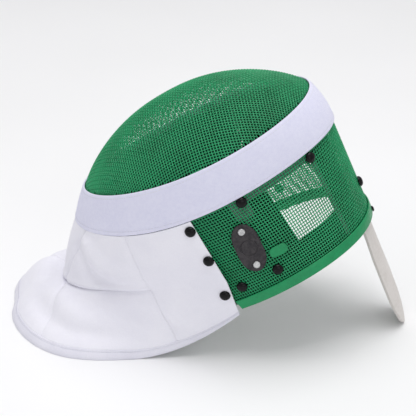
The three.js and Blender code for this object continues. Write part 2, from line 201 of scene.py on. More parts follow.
@dataclass(frozen=True)
class Cage:
    """The mesh cage's surface: side, band and dome."""

    rim: Oval = Oval(90.4, 119.5, 101.6, -0.05, 0.01, 41.1, 7.0, -0.8, -1.1)
    back: Oval = Oval(65.5, 145.7, 103.0, 0.01, -0.035, 151.3, -0.7, 9.9, -1.7)
    front: Oval = Oval(73.2, 129.1, 97.6, -0.075, -0.025, 194.3, 4.9, 3.3, -0.6)
    dome_height: float = 56.4
    fullness: float = 0.874
    chin_bulge: float = 0.4
    crown_bulge: float = 2.6
    chin_cut: float = 0.55
    rim_end: float = 103.8

    def point(self, angle: Array, up: Array) -> Array:
        """Give points of the cage.

        Args:
            angle: angle from the crown in radians.
            up: 0 at the rim, 1 and 2 at the band's edges, 3 at the top of the dome.

        Returns:
            Points in the cage's frame.
        """
        angle, up = np.broadcast_arrays(np.asarray(angle, float), np.asarray(up, float))
        rim, back, front = self.rim.at(angle), self.back.at(angle), self.front.at(angle)
        centre = np.array([self.front.centre, 0, self.front.lift])
        side = rim + (back - rim) * up[..., None]
        share = np.clip(up - 1, 0, 1)[..., None]
        spoke = front - centre
        flat = unit(spoke * np.array([1, 1, 0]))
        blend = ((1 + np.cos(angle)) / 2)[..., None]
        bulge = self.chin_bulge + (self.crown_bulge - self.chin_bulge) * blend
        band = back + (front - back) * share + flat * bulge * 4 * share * (1 - share)
        swing = np.clip(up - 2, 0, 1)[..., None] * math.pi / 2
        dome = centre + spoke * np.cos(swing)
        dome[..., 2] += self.dome_height * np.sin(swing[..., 0]) ** (2 * self.fullness)
        high = up[..., None]
        return np.where(high <= 1, side, np.where(high <= 2, band, dome))

    def off(self, angle: Array, up: Array, distance: Array) -> Array:
        """Give points at a distance outside the cage's surface.

        Args:
            angle: angle from the crown in radians.
            up: height number.
            distance: millimetres outwards.

        Returns:
            Points in metres at their place in the frame.
        """
        angle, up = np.broadcast_arrays(np.asarray(angle, float), np.asarray(up, float))
        low, high = (0.0, 1.0) if np.all(up <= 1) else (0.0, 3.0)
        normal = outward(self.point, angle, up, low, high)
        return placed(levelled(self.point(angle, up) + normal * np.asarray(distance)[..., None]))

    def side_edge(self, angle: Array) -> Array:
        """Height number of the side mesh's lower edge, which is cut higher at the chin."""
        degrees = np.degrees(np.mod(angle, 2 * math.pi))
        share = smooth(np.abs(degrees - 180), 8, 180 - self.rim_end)
        return self.chin_cut + (0.022 - self.chin_cut) * share


@dataclass(frozen=True)
class LevelOval:
    """Level line of the bib, x = x0 + x1 cos + x2 cos2, y = -sin (y0 + y1 cos + ...)."""

    x: tuple[float, float, float]
    y: tuple[float, float, float, float]
    z: tuple[float, float]
    rear: float
    seam: float
    pleat: float

    def at(self, angle: Array) -> Array:
        """Points of the line at some angles in radians."""
        c, s = np.cos(angle), np.sin(angle)
        y0, y1, y2, y3 = self.y
        return np.stack(
            [
                self.x[0] + self.x[1] * c + self.x[2] * c * c,
                -s * (y0 + y1 * c + y2 * c * c + y3 * c**3),
                self.z[0] + self.z[1] * c,
            ],
            axis=-1,
        )


@dataclass(frozen=True)
class BibShape:
    """The bib's surface, by turn round it and by height from band to hem."""

    cage: Cage = Cage()
    top: tuple[float, float, float] = (94.8, 127.0, 154.0)
    waist: LevelOval = LevelOval(
        (88.6, 243.6, 0.0), (109.0, 10.8, 0.0, 0.0), (109.0, 65.0), 105.1, 125.9, 170.0
    )
    hem: LevelOval = LevelOval(
        (-59.2, 175.4, 20.5), (99.5, -27.8, 54.8, 81.0), (0.0, 0.0), 58.6, 78.7, 136.0
    )
    seam_turn: float = 0.4
    pleat_turn: float = 0.8
    hem_lift: float = 52.0
    hem_lift_from: float = -75.0
    hem_lift_to: float = 37.0
    collar_puff: float = 2.5
    side_puff: float = 2.2
    skirt_puff: float = 8.0
    far_puff: float = 11.0
    far_sway: float = 125.0

    def angle(self, marks: tuple[float, float, float], turn: Array) -> Array:
        """Turn a place round the bib into an angle of one of its lines.

        Args:
            marks: the line's angles at the free edge, side seam and front seam, in degrees.
            turn: 0 at the free edge on the left, 1 at the front, 2 at the other free edge.

        Returns:
            Angles in radians.
        """
        rear, seam, pleat = marks
        near = np.where(turn <= 1, turn, 2 - turn)
        middle = seam + (pleat - seam) * (near - self.seam_turn) / (
            self.pleat_turn - self.seam_turn
        )
        last = pleat + (180 - pleat) * (near - self.pleat_turn) / (1 - self.pleat_turn)
        first = rear + (seam - rear) * near / self.seam_turn
        angle = np.where(near < self.seam_turn, first, np.where(near < self.pleat_turn, middle, last))
        return np.radians(np.where(turn <= 1, angle, 360 - angle))

    def hem_point(self, turn: Array) -> Array:
        """Points of the hem, flat in front and climbing to the ends of the rim."""
        angle = self.angle((self.hem.rear, self.hem.seam, self.hem.pleat), turn)
        point = self.hem.at(angle)
        climb = (point[..., 0] - self.hem_lift_from) / (self.hem_lift_to - self.hem_lift_from)
        point[..., 2] = self.hem_lift * np.clip(climb, 0, 1) ** 2
        sway = (np.sin(angle) * np.minimum(np.cos(angle), 0)) ** 2
        point[..., 0] -= np.where(turn > 1, self.far_sway * sway, 0)
        return point

    def point(self, turn: Array, up: Array) -> Array:
        """Give points of the bib.

        Args:
            turn: place round the bib, 0 to 2.
            up: 0 under the band, -1 at the waist seam, -2 at the hem.

        Returns:
            Points in the level frame.
        """
        turn, up = np.broadcast_arrays(np.asarray(turn, float), np.asarray(up, float))
        marks = (self.waist.rear, self.waist.seam, self.waist.pleat)
        waist = self.waist.at(self.angle(marks, turn))
        near = np.where(turn <= 1, turn, 2 - turn)
        front = smooth(near, 0.1, 0.9)
        top = levelled(self.cage.point(self.angle(self.top, turn), 0.995))
        flat = unit(waist * np.array([1, 1, 0]))
        puff = (self.side_puff + (self.collar_puff - self.side_puff) * front) * np.sin(-math.pi * up)
        collar = top + (waist - top) * -up[..., None] + flat * puff[..., None]
        share = -up - 1
        skirt = waist + (self.hem_point(turn) - waist) * share[..., None]
        far = smooth(turn, 1, 1.15) * (1 - smooth(turn, 1.45, 1.9))
        rise = (self.skirt_puff * front + self.far_puff * far) * np.sin(math.pi * share)
        skirt[..., 2] += rise
        return np.where(up[..., None] >= -1, collar, skirt)


# modelling by operators


def pick(piece: bpy.types.Object) -> None:
    """Select one object alone and make it active."""
    bpy.ops.object.select_all(action="DESELECT")
    piece.select_set(True)
    bpy.context.view_layer.objects.active = piece


def named(piece: bpy.types.Object, name: str) -> bpy.types.Object:
    """Name an object and its mesh."""
    piece.name = name
    piece.data.name = name
    return piece


def coordinates(mesh: bpy.types.Mesh) -> Array:
    """Vertex positions of a mesh as rows."""
    flat = np.empty(len(mesh.vertices) * 3)
    mesh.vertices.foreach_get("co", flat)
    return flat.reshape(-1, 3)


def grid(
    name: str,
    columns: int,
    rows: int,
    place: Callable[[Array, Array], tuple[Array, Array]],
    flip: bool = False,
    weld: bool = False,
) -> bpy.types.Object:
    """Add a grid primitive and bend it to a surface.

    Args:
        name: the piece's name.
        columns: faces across.
        rows: faces up.
        place: gives points in metres, and cloth coordinates in metres, for shares 0 to 1.
        flip: turn the faces over.
        weld: join edges that meet.

    Returns:
        The grid, with its cloth coordinates in the map named cloth.
    """
    bpy.ops.object.select_all(action="DESELECT")
    bpy.ops.mesh.primitive_grid_add(x_subdivisions=columns, y_subdivisions=rows, size=2)
    piece = named(bpy.context.object, name)
    mesh = piece.data
    start = coordinates(mesh)
    points, cloth = place((start[:, 0] + 1) / 2, (start[:, 1] + 1) / 2)
    mesh.vertices.foreach_set("co", points.ravel())
    corner = np.empty(len(mesh.loops), dtype=np.int32)
    mesh.loops.foreach_get("vertex_index", corner)
    layer = mesh.uv_layers[0]
    layer.name = "cloth"
    layer.data.foreach_set("uv", cloth[corner].ravel())
    if flip:
        mesh.flip_normals()
    if weld:
        merge(piece, 1e-6)
    mesh.update()
    pick(piece)
    bpy.ops.object.shade_smooth()
    return piece


@contextmanager
def editing(piece: bpy.types.Object) -> Iterator[None]:
    """Open a piece in edit mode with all of it selected, and close it afterwards."""
    pick(piece)
    bpy.ops.object.mode_set(mode="EDIT")
    bpy.ops.mesh.select_all(action="SELECT")
    yield
    bpy.ops.object.mode_set(mode="OBJECT")


def merge(piece: bpy.types.Object, distance: float) -> None:
    """Join the points of a piece that are nearer than a distance."""
    with editing(piece):
        bpy.ops.mesh.remove_doubles(threshold=distance)


def facing_out(piece: bpy.types.Object, sharp: Optional[float] = None) -> None:
    """Turn the faces of a closed piece outwards.

    Args:
        piece: the closed mesh.
        sharp: least angle in degrees of an edge that stays sharp, if it is shaded anew.
    """
    with editing(piece):
        bpy.ops.mesh.normals_make_consistent(inside=False)
    if sharp is not None:
        bpy.ops.object.shade_smooth_by_angle(angle=math.radians(sharp))


def end_closed(piece: bpy.types.Object, sharp: float) -> None:
    """Fill the open ends of a swept strip.

    Args:
        piece: the strip.
        sharp: least angle in degrees of an edge that stays sharp.
    """
    with editing(piece):
        bpy.ops.mesh.select_all(action="DESELECT")
        bpy.ops.mesh.select_mode(type="EDGE")
        bpy.ops.mesh.select_non_manifold()
        bpy.ops.mesh.edge_face_add()
    facing_out(piece, sharp)


def modify(piece: bpy.types.Object, kind: str, **settings: object) -> None:
    """Add a modifier to a piece and apply it.

    Args:
        piece: what it works on.
        kind: Blender's name of the modifier.
        settings: its settings.
    """
    pick(piece)
    modifier = piece.modifiers.new("work", kind)
    for key, value in settings.items():
        setattr(modifier, key, value)
    bpy.ops.object.modifier_apply(modifier=modifier.name)


def thickened(piece: bpy.types.Object, wall: float, bevel: float, segments: int, sharp: float) -> None:
    """Give a sheet its thickness on the inner side and round its edges.

    Args:
        piece: the sheet.
        wall: thickness in millimetres.
        bevel: width of the rounding in millimetres.
        segments: faces across the rounding.
        sharp: least angle in degrees of an edge that is shaded sharp.
    """
    limit = math.radians(50)
    modify(piece, "SOLIDIFY", thickness=wall * MM, offset=-1)
    modify(piece, "BEVEL", width=bevel * MM, segments=segments, limit_method="ANGLE", angle_limit=limit)
    bpy.ops.object.shade_smooth_by_angle(angle=math.radians(sharp))


def lengths(points: Array) -> Array:
    """Length along a line at each of its points, from 0."""
    steps = np.linalg.norm(np.diff(points, axis=0), axis=1)
    return np.concatenate([[0], np.cumsum(steps)])


def wires(name: str, lines: Lines, radius: float) -> bpy.types.Object:
    """Draw round wires along lines and turn them into one mesh.

    Args:
        name: the piece's name.
        lines: the points of each wire in metres, and whether it closes on itself.
        radius: half the wire's thickness in metres.

    Returns:
        The wires as a mesh with six sides to each wire.
    """
    curve = bpy.data.curves.new(name, "CURVE")
    curve.dimensions = "3D"
    curve.bevel_depth = radius
    curve.bevel_resolution = 1
    curve.use_fill_caps = True
    for points, closed in lines:
        spline = curve.splines.new("POLY")
        spline.points.add(len(points) - 1)
        spline.points.foreach_set("co", np.column_stack([points, np.ones(len(points))]).ravel())
        spline.use_cyclic_u = closed
    piece = bpy.data.objects.new(name, curve)
    bpy.context.collection.objects.link(piece)
    pick(piece)
    bpy.ops.object.convert(target="MESH")
    piece = bpy.context.object
    bpy.ops.object.shade_smooth()
    return named(piece, name)


def turned(name: str, outline: Sequence[tuple[float, float]], sides: int) -> bpy.types.Object:
    """Turn a round piece: a disc that is extruded and scaled step by step.

    Args:
        name: the piece's name.
        outline: radius and height of each ring in metres, from the back to the top.
        sides: faces round it.

    Returns:
        The piece on the origin, its axis up.
    """
    bpy.ops.object.select_all(action="DESELECT")
    bpy.ops.mesh.primitive_circle_add(
        vertices=sides, radius=outline[0][0], fill_type="NGON", location=(0, 0, 0)
    )
    piece = named(bpy.context.object, name)
    with editing(piece):
        for (before, low), (radius, high) in zip(outline, outline[1:]):
            bpy.ops.mesh.extrude_region_move(TRANSFORM_OT_translate={"value": (0, 0, high - low)})
            share = radius / before
            bpy.ops.transform.resize(value=(share, share, 1), center_override=(0, 0, high))
    facing_out(piece, 50)
    return piece


def copied(piece: bpy.types.Object, name: str, place: Matrix) -> bpy.types.Object:
    """Copy a piece with its own mesh and put the place into that mesh."""
    copy = bpy.data.objects.new(name, piece.data.copy())
    copy.data.name = name
    copy.data.transform(place)
    bpy.context.collection.objects.link(copy)
    return copy


def joined(name: str, parts: Sequence[bpy.types.Object]) -> bpy.types.Object:
    """Join several meshes into one piece."""
    bpy.ops.object.select_all(action="DESELECT")
    for part in parts:
        part.select_set(True)
    bpy.context.view_layer.objects.active = parts[0]
    bpy.ops.object.join()
    return named(bpy.context.object, name)


def dropped(piece: bpy.types.Object) -> None:
    """Delete a pattern piece that has been copied."""
    bpy.data.objects.remove(piece, do_unlink=True)


def seat(surface: Surface, across: float, up: float, off: float, lift: Surface) -> Matrix:
    """Find where a fastening stands on a surface.

    Args:
        surface: the surface in its own frame.
        across: angle or turn.
        up: height number.
        off: millimetres outside the surface.
        lift: turns points of that frame into the level frame.

    Returns:
        A matrix in metres whose Z is outward and whose Y is up the wall.
    """
    a, b = np.array([across]), np.array([up])
    normal = outward(surface, a, b, -2, 3)[0]
    rise = np.array([0, 0, 1.0])
    rise = unit(rise - normal * rise.dot(normal))
    side = np.cross(rise, normal)
    spot = placed(lift((surface(a, b)[0] + normal * off)[None]))[0]
    turn = lift(np.array([side, rise, normal]))
    matrix = np.eye(4)
    matrix[:3, :3] = turn.T
    matrix[:3, 3] = spot
    return Matrix(matrix.tolist())


def same(points: Array) -> Array:
    """Leave level points as they are."""
    return points


# shader building


class Value:
    """A number that changes over a surface, with ordinary arithmetic."""

    def __init__(self, tree: bpy.types.NodeTree, socket: bpy.types.NodeSocket) -> None:
        """Wrap a socket of a tree."""
        self.tree = tree
        self.socket = socket

    def math(self, operation: str, *operands: Union["Value", float]) -> "Value":
        """Add a Math node.

        Args:
            operation: the node's operation.
            operands: what it works on, in order.

        Returns:
            Its result.
        """
        node = self.tree.nodes.new("ShaderNodeMath")
        node.operation = operation
        for socket, operand in zip(node.inputs, operands):
            if isinstance(operand, Value):
                self.tree.links.new(operand.socket, socket)
            else:
                socket.default_value = operand
        return Value(self.tree, node.outputs[0])

    def __add__(self, other: Union["Value", float]) -> "Value":
        """Sum."""
        return self.math("ADD", self, other)

    __radd__ = __add__

    def __sub__(self, other: Union["Value", float]) -> "Value":
        """Difference."""
        return self.math("SUBTRACT", self, other)

    def __rsub__(self, other: float) -> "Value":
        """Difference from a number."""
        return self.math("SUBTRACT", other, self)

    def __mul__(self, other: Union["Value", float]) -> "Value":
        """Product."""
        return self.math("MULTIPLY", self, other)

    __rmul__ = __mul__

    def __truediv__(self, other: Union["Value", float]) -> "Value":
        """Quotient."""
        return self.math("DIVIDE", self, other)

    def __pow__(self, other: float) -> "Value":
        """Power."""
        return self.math("POWER", self, other)

    def wave(self, pitch: float) -> "Value":
        """Wave from 0 to 1 that repeats every pitch metres."""
        return self.math("SINE", self * (2 * math.pi / pitch)) * 0.5 + 0.5


class Recipe:
    """Nodes of one finish, ending in a Principled surface."""

    def __init__(self, name: str) -> None:
        """Start an empty finish with a name."""
        self.material = bpy.data.materials.new(name)
        self.material.use_nodes = True
        self.tree = self.material.node_tree
        self.tree.nodes.clear()
        self.surface = self.add("ShaderNodeBsdfPrincipled")
        self.add("ShaderNodeOutputMaterial", sockets={"Surface": self.surface.outputs[0]})

    def add(
        self,
        kind: str,
        settings: Optional[dict] = None,
        sockets: Optional[dict] = None,
    ) -> bpy.types.Node:
        """Add a node.

        Args:
            kind: the node's type.
            settings: its settings, with stops for a ramp's positions and colours.
            sockets: values or links for its sockets, by name or number.

        Returns:
            The node.
        """
        node = self.tree.nodes.new(kind)
        for key, value in (settings or {}).items():
            if key == "stops":
                ramp = node.color_ramp
                while len(ramp.elements) < len(value):
                    ramp.elements.new(0.5)
                for element, (place, colour) in zip(ramp.elements, value):
                    element.position = place
                    element.color = (*colour, 1)
            else:
                setattr(node, key, value)
        for key, value in (sockets or {}).items():
            self.feed(node.inputs[key], value)
        return node

    def feed(self, socket: bpy.types.NodeSocket, value: object) -> None:
        """Give a socket a link, a Value, a colour or a number."""
        if isinstance(value, Value):
            self.tree.links.new(value.socket, socket)
        elif isinstance(value, bpy.types.NodeSocket):
            self.tree.links.new(value, socket)
        elif isinstance(value, tuple) and len(value) == 3 and socket.type == "RGBA":
            socket.default_value = (*value, 1)
        else:
            socket.default_value = value

    def plain(self, **values: object) -> None:
        """Set sockets of the surface that are the same all over."""
        for key, value in values.items():
            self.feed(self.surface.inputs[key.replace("_", " ")], value)

    def place(self) -> bpy.types.NodeSocket:
        """Position on the object."""
        return self.add("ShaderNodeTexCoord").outputs["Object"]

    def cloth(self) -> tuple[Value, Value]:
        """Position along and up the cloth, in metres."""
        mapped = self.add("ShaderNodeUVMap", {"uv_map": "cloth"}).outputs[0]
        split = self.add("ShaderNodeSeparateXYZ", sockets={0: mapped})
        return Value(self.tree, split.outputs[0]), Value(self.tree, split.outputs[1])

    def noise(
        self,
        grain: float,
        detail: float = 3,
        rough: float = 0.5,
        at: Optional[bpy.types.NodeSocket] = None,
        stretch: tuple[float, float, float] = (1, 1, 1),
    ) -> Value:
        """Soft random value from 0 to 1.

        Args:
            grain: size of its spots in metres.
            detail: how many finer layers it has.
            rough: strength of the finer layers.
            at: coordinates that it follows, the object's own if not given.
            stretch: how many times denser it is along each axis.

        Returns:
            The value.
        """
        vector = self.add(
            "ShaderNodeMapping", sockets={"Vector": at or self.place(), "Scale": stretch}
        ).outputs[0]
        node = self.add(
            "ShaderNodeTexNoise",
            sockets={"Vector": vector, "Scale": 1 / grain, "Detail": detail, "Roughness": rough},
        )
        return Value(self.tree, node.outputs[0])

    def range(self, value: Value, low: float, high: float, first: float, last: float) -> Value:
        """Map low to first and high to last, clamped.

        Args:
            value: what is mapped.
            low: value that gives first.
            high: value that gives last.
            first: result at low.
            last: result at high.

        Returns:
            The mapped value.
        """
        node = self.add(
            "ShaderNodeMapRange",
            {"interpolation_type": "SMOOTHSTEP"},
            {"Value": value, "From Min": low, "From Max": high, "To Min": first, "To Max": last},
        )
        return Value(self.tree, node.outputs[0])

    def between(self, value: Value, ends: tuple[float, float]) -> Value:
        """Take the usual run of a noise to two ends."""
        return self.range(value, 0.3, 0.7, *ends)

    def blend(self, factor: Value, first: object, second: object) -> bpy.types.NodeSocket:
        """Mix two colours by a value."""
        node = self.add(
            "ShaderNodeMix", {"data_type": "RGBA"}, {0: factor, 6: first, 7: second}
        )
        return node.outputs[2]

    def relief(
        self, height: Value, depth: float, over: Optional[bpy.types.NodeSocket] = None
    ) -> bpy.types.NodeSocket:
        """Bump from a height value.

        Args:
            height: value from 0 to 1.
            depth: metres from 0 to 1.
            over: a normal that it is laid over.

        Returns:
            The bumped normal.
        """
        sockets = {"Height": height, "Distance": depth, "Strength": 1.0}
        if over is not None:
            sockets["Normal"] = over
        return self.add("ShaderNodeBump", sockets=sockets).outputs[0]


@dataclass(frozen=True)
class Lacquer:
    """Glossy paint over wire or plastic, with a little dust and rubbed places."""

    name: str
    colour: Colour
    worn: Colour
    roughness: float
    grain: float
    depth: float
    gloss: float = 0.5
    patches: float = 0.03

    def make(self) -> bpy.types.Material:
        """Build the material."""
        recipe = Recipe(self.name)
        patch = recipe.noise(self.patches, 4, 0.6)
        speck = recipe.noise(self.grain, 3, 0.6)
        rubbed = recipe.range(patch * 0.6 + speck * 0.4, 0.42, 0.66, 0.0, 1.0)
        recipe.plain(
            Base_Color=recipe.blend(rubbed, self.colour, self.worn),
            Roughness=recipe.between(speck, (self.roughness * 0.8, self.roughness * 1.25)),
            Normal=recipe.relief(speck, self.depth),
            Specular_IOR_Level=self.gloss,
        )
        return recipe.material


@dataclass(frozen=True)
class Twill:
    """Ribbed white strip of the band, its ribs running across it, with shade painted into the grooves
    between the ribs.
    """

    name: str
    colour: Colour
    shade: Colour
    rib: float = 0.0009
    slubs: float = 0.004
    depth: float = 0.0002
    roughness: tuple[float, float] = (0.72, 0.86)
    sheen: float = 0.15

    def make(self) -> bpy.types.Material:
        """Build the material."""
        recipe = Recipe(self.name)
        along, up = recipe.cloth()
        rib = along.wave(self.rib)
        slub = recipe.noise(self.slubs, 3, 0.6)
        cross = (up + along * 0.35).wave(self.rib * 0.8)
        height = rib * 0.7 + cross * 0.2 + slub * 0.3
        # The rib term paints shade into the grooves between the ribs, because low rib height gives the
        # shade colour; the slub and noise terms are random tone.
        tone = recipe.range(rib * 0.35 + slub * 0.45 + recipe.noise(0.05, 2) * 0.35, 0.3, 0.8, 1.0, 0.0)
        recipe.plain(
            Base_Color=recipe.blend(tone, self.colour, self.shade),
            Roughness=recipe.between(slub, self.roughness),
            Normal=recipe.relief(height, self.depth),
            Sheen_Weight=self.sheen,
            Sheen_Roughness=0.5,
        )
        return recipe.material


@dataclass(frozen=True)
class Canvas:
    """Tightly woven cloth, with a fine plain weave and soft creasing."""

    name: str
    colour: Colour
    shade: Colour
    thread: float = 0.0006
    crease: float = 0.0004
    creases: float = 0.028
    lint: float = 0.0012
    depth: float = 0.00009
    roughness: tuple[float, float] = (0.8, 0.93)
    sheen: float = 0.2

    def make(self) -> bpy.types.Material:
        """Build the material."""
        recipe = Recipe(self.name)
        along, up = recipe.cloth()
        over = (along + up).wave(self.thread * 2) * (along - up).wave(self.thread * 2)
        rumple = recipe.noise(self.creases, 4, 0.55)
        fuzz = recipe.noise(self.lint, 3, 0.6)
        tone = recipe.range(recipe.noise(0.06, 4, 0.55) * 0.7 + fuzz * 0.3, 0.35, 0.68, 0.0, 1.0)
        creased = recipe.relief(rumple, self.crease * 4)
        recipe.plain(
            Base_Color=recipe.blend(tone, self.colour, self.shade),
            Roughness=recipe.between(fuzz, self.roughness),
            Normal=recipe.relief(over * 0.7 + fuzz * 0.3, self.depth, creased),
            Sheen_Weight=self.sheen,
            Sheen_Roughness=0.5,
        )
        return recipe.material


@dataclass(frozen=True)
class Towelling:
    """Looped lining cloth over foam."""

    name: str
    colour: Colour
    shade: Colour
    loop: float = 0.0016
    patches: float = 0.02
    depth: float = 0.0007
    roughness: tuple[float, float] = (0.88, 0.97)
    gloss: float = 0.2

    def make(self) -> bpy.types.Material:
        """Build the material."""
        recipe = Recipe(self.name)
        loops = recipe.noise(self.loop, 2, 0.6)
        patch = recipe.noise(self.patches, 3)
        tone = recipe.range(loops * 0.6 + patch * 0.4, 0.35, 0.65, 0, 1)
        recipe.plain(
            Base_Color=recipe.blend(tone, self.shade, self.colour),
            Roughness=recipe.between(patch, self.roughness),
            Normal=recipe.relief(loops, self.depth),
            Specular_IOR_Level=self.gloss,
        )
        return recipe.material


@dataclass(frozen=True)
class Metal:
    """Bare metal, brushed or cast."""

    name: str
    colour: Colour
    dark: Colour
    roughness: float
    stretch: tuple[float, float, float] = (1, 1, 1)
    grain: float = 0.002
    depth: float = 0.00004
    patches: float = 0.008
    metallic: float = 0.85

    def make(self) -> bpy.types.Material:
        """Build the material."""
        recipe = Recipe(self.name)
        brush = recipe.noise(self.grain, 4, 0.6, stretch=self.stretch)
        patch = recipe.noise(self.patches, 3, 0.6)
        tone = recipe.range(brush * 0.5 + patch * 0.5, 0.35, 0.65, 0.0, 1.0)
        recipe.plain(
            Base_Color=recipe.blend(tone, self.dark, self.colour),
            Metallic=self.metallic,
            Roughness=recipe.between(brush, (self.roughness * 0.8, self.roughness * 1.3)),
            Normal=recipe.relief(brush, self.depth),
        )
        return recipe.material


class Finish(Enum):
    """Finishes of the mask, each with the record's slot of the same use."""

    WIRE = ("wire", Lacquer("wire_lacquer", srgb(32, 160, 104), srgb(24, 138, 88), 0.42, 0.0015, 0.00004))
    RIM = (
        "rim",
        Lacquer("rim_channel_green", srgb(22, 144, 88), srgb(20, 130, 80), 0.36, 0.0025, 0.00003, 0.35),
    )
    BAND = ("band", Twill("band_twill", srgb(233, 233, 250), srgb(216, 216, 240)))
    CLOTH = ("cloth", Canvas("bib_canvas", srgb(239, 238, 246), srgb(232, 231, 241)))
    BINDING = ("cloth", Canvas("hem_canvas", srgb(229, 228, 238), srgb(218, 217, 229)))
    THREAD = ("cloth", Canvas("stitch_thread", srgb(226, 226, 236), srgb(206, 206, 220)))
    STUD = ("black", Lacquer("black_studs", srgb(5, 5, 7), srgb(9, 9, 11), 0.12, 0.0012, 0.00001, 0.2))
    PADDING = ("padding", Towelling("black_padding", srgb(6, 6, 8), srgb(2, 2, 3)))
    NAVY = ("navy", Towelling("navy_padding", srgb(5, 7, 34), srgb(2, 3, 18)))
    TAPE = ("tape", Canvas("grey_tape", srgb(128, 130, 134), srgb(106, 108, 113)))
    PLATE = ("plate", Metal("strap_plate_metal", srgb(74, 71, 73), srgb(54, 52, 55), 0.42))
    STEEL = ("steel", Metal("rivet_steel", srgb(214, 214, 214), srgb(168, 168, 170), 0.34, grain=0.0012))
    TONGUE = (
        "tongue",
        Lacquer("tongue_coating", srgb(213, 208, 204), srgb(207, 202, 197), 0.5, 0.003, 0.00003),
    )

    def __init__(self, slot: str, recipe: object) -> None:
        """Keep the slot and the recipe."""
        self.slot = slot
        self.recipe = recipe

    def dress(self, piece: bpy.types.Object) -> bpy.types.Object:
        """Give a piece this finish.

        Args:
            piece: a finished mesh.

        Returns:
            The same piece.
        """
        material = bpy.data.materials.get(self.recipe.name) or self.recipe.make()
        piece.data.materials.clear()
        piece.data.materials.append(material)
        return piece


def hand_over(piece: bpy.types.Object, finish: Finish, *nodes: str) -> bpy.types.Object:
    """Dress a piece, let it ride on the mask and take the place of CAD nodes.

    Args:
        piece: the finished mesh.
        finish: its finish.
        nodes: names of the nodes it stands for.

    Returns:
        The same piece.
    """
    finish.dress(piece)
    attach(piece, "root")
    if nodes:
        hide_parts(*nodes)
    LOG.info("%s: %d faces, %s", piece.name, len(piece.data.polygons), finish.name.lower())
    return piece


# wire cage


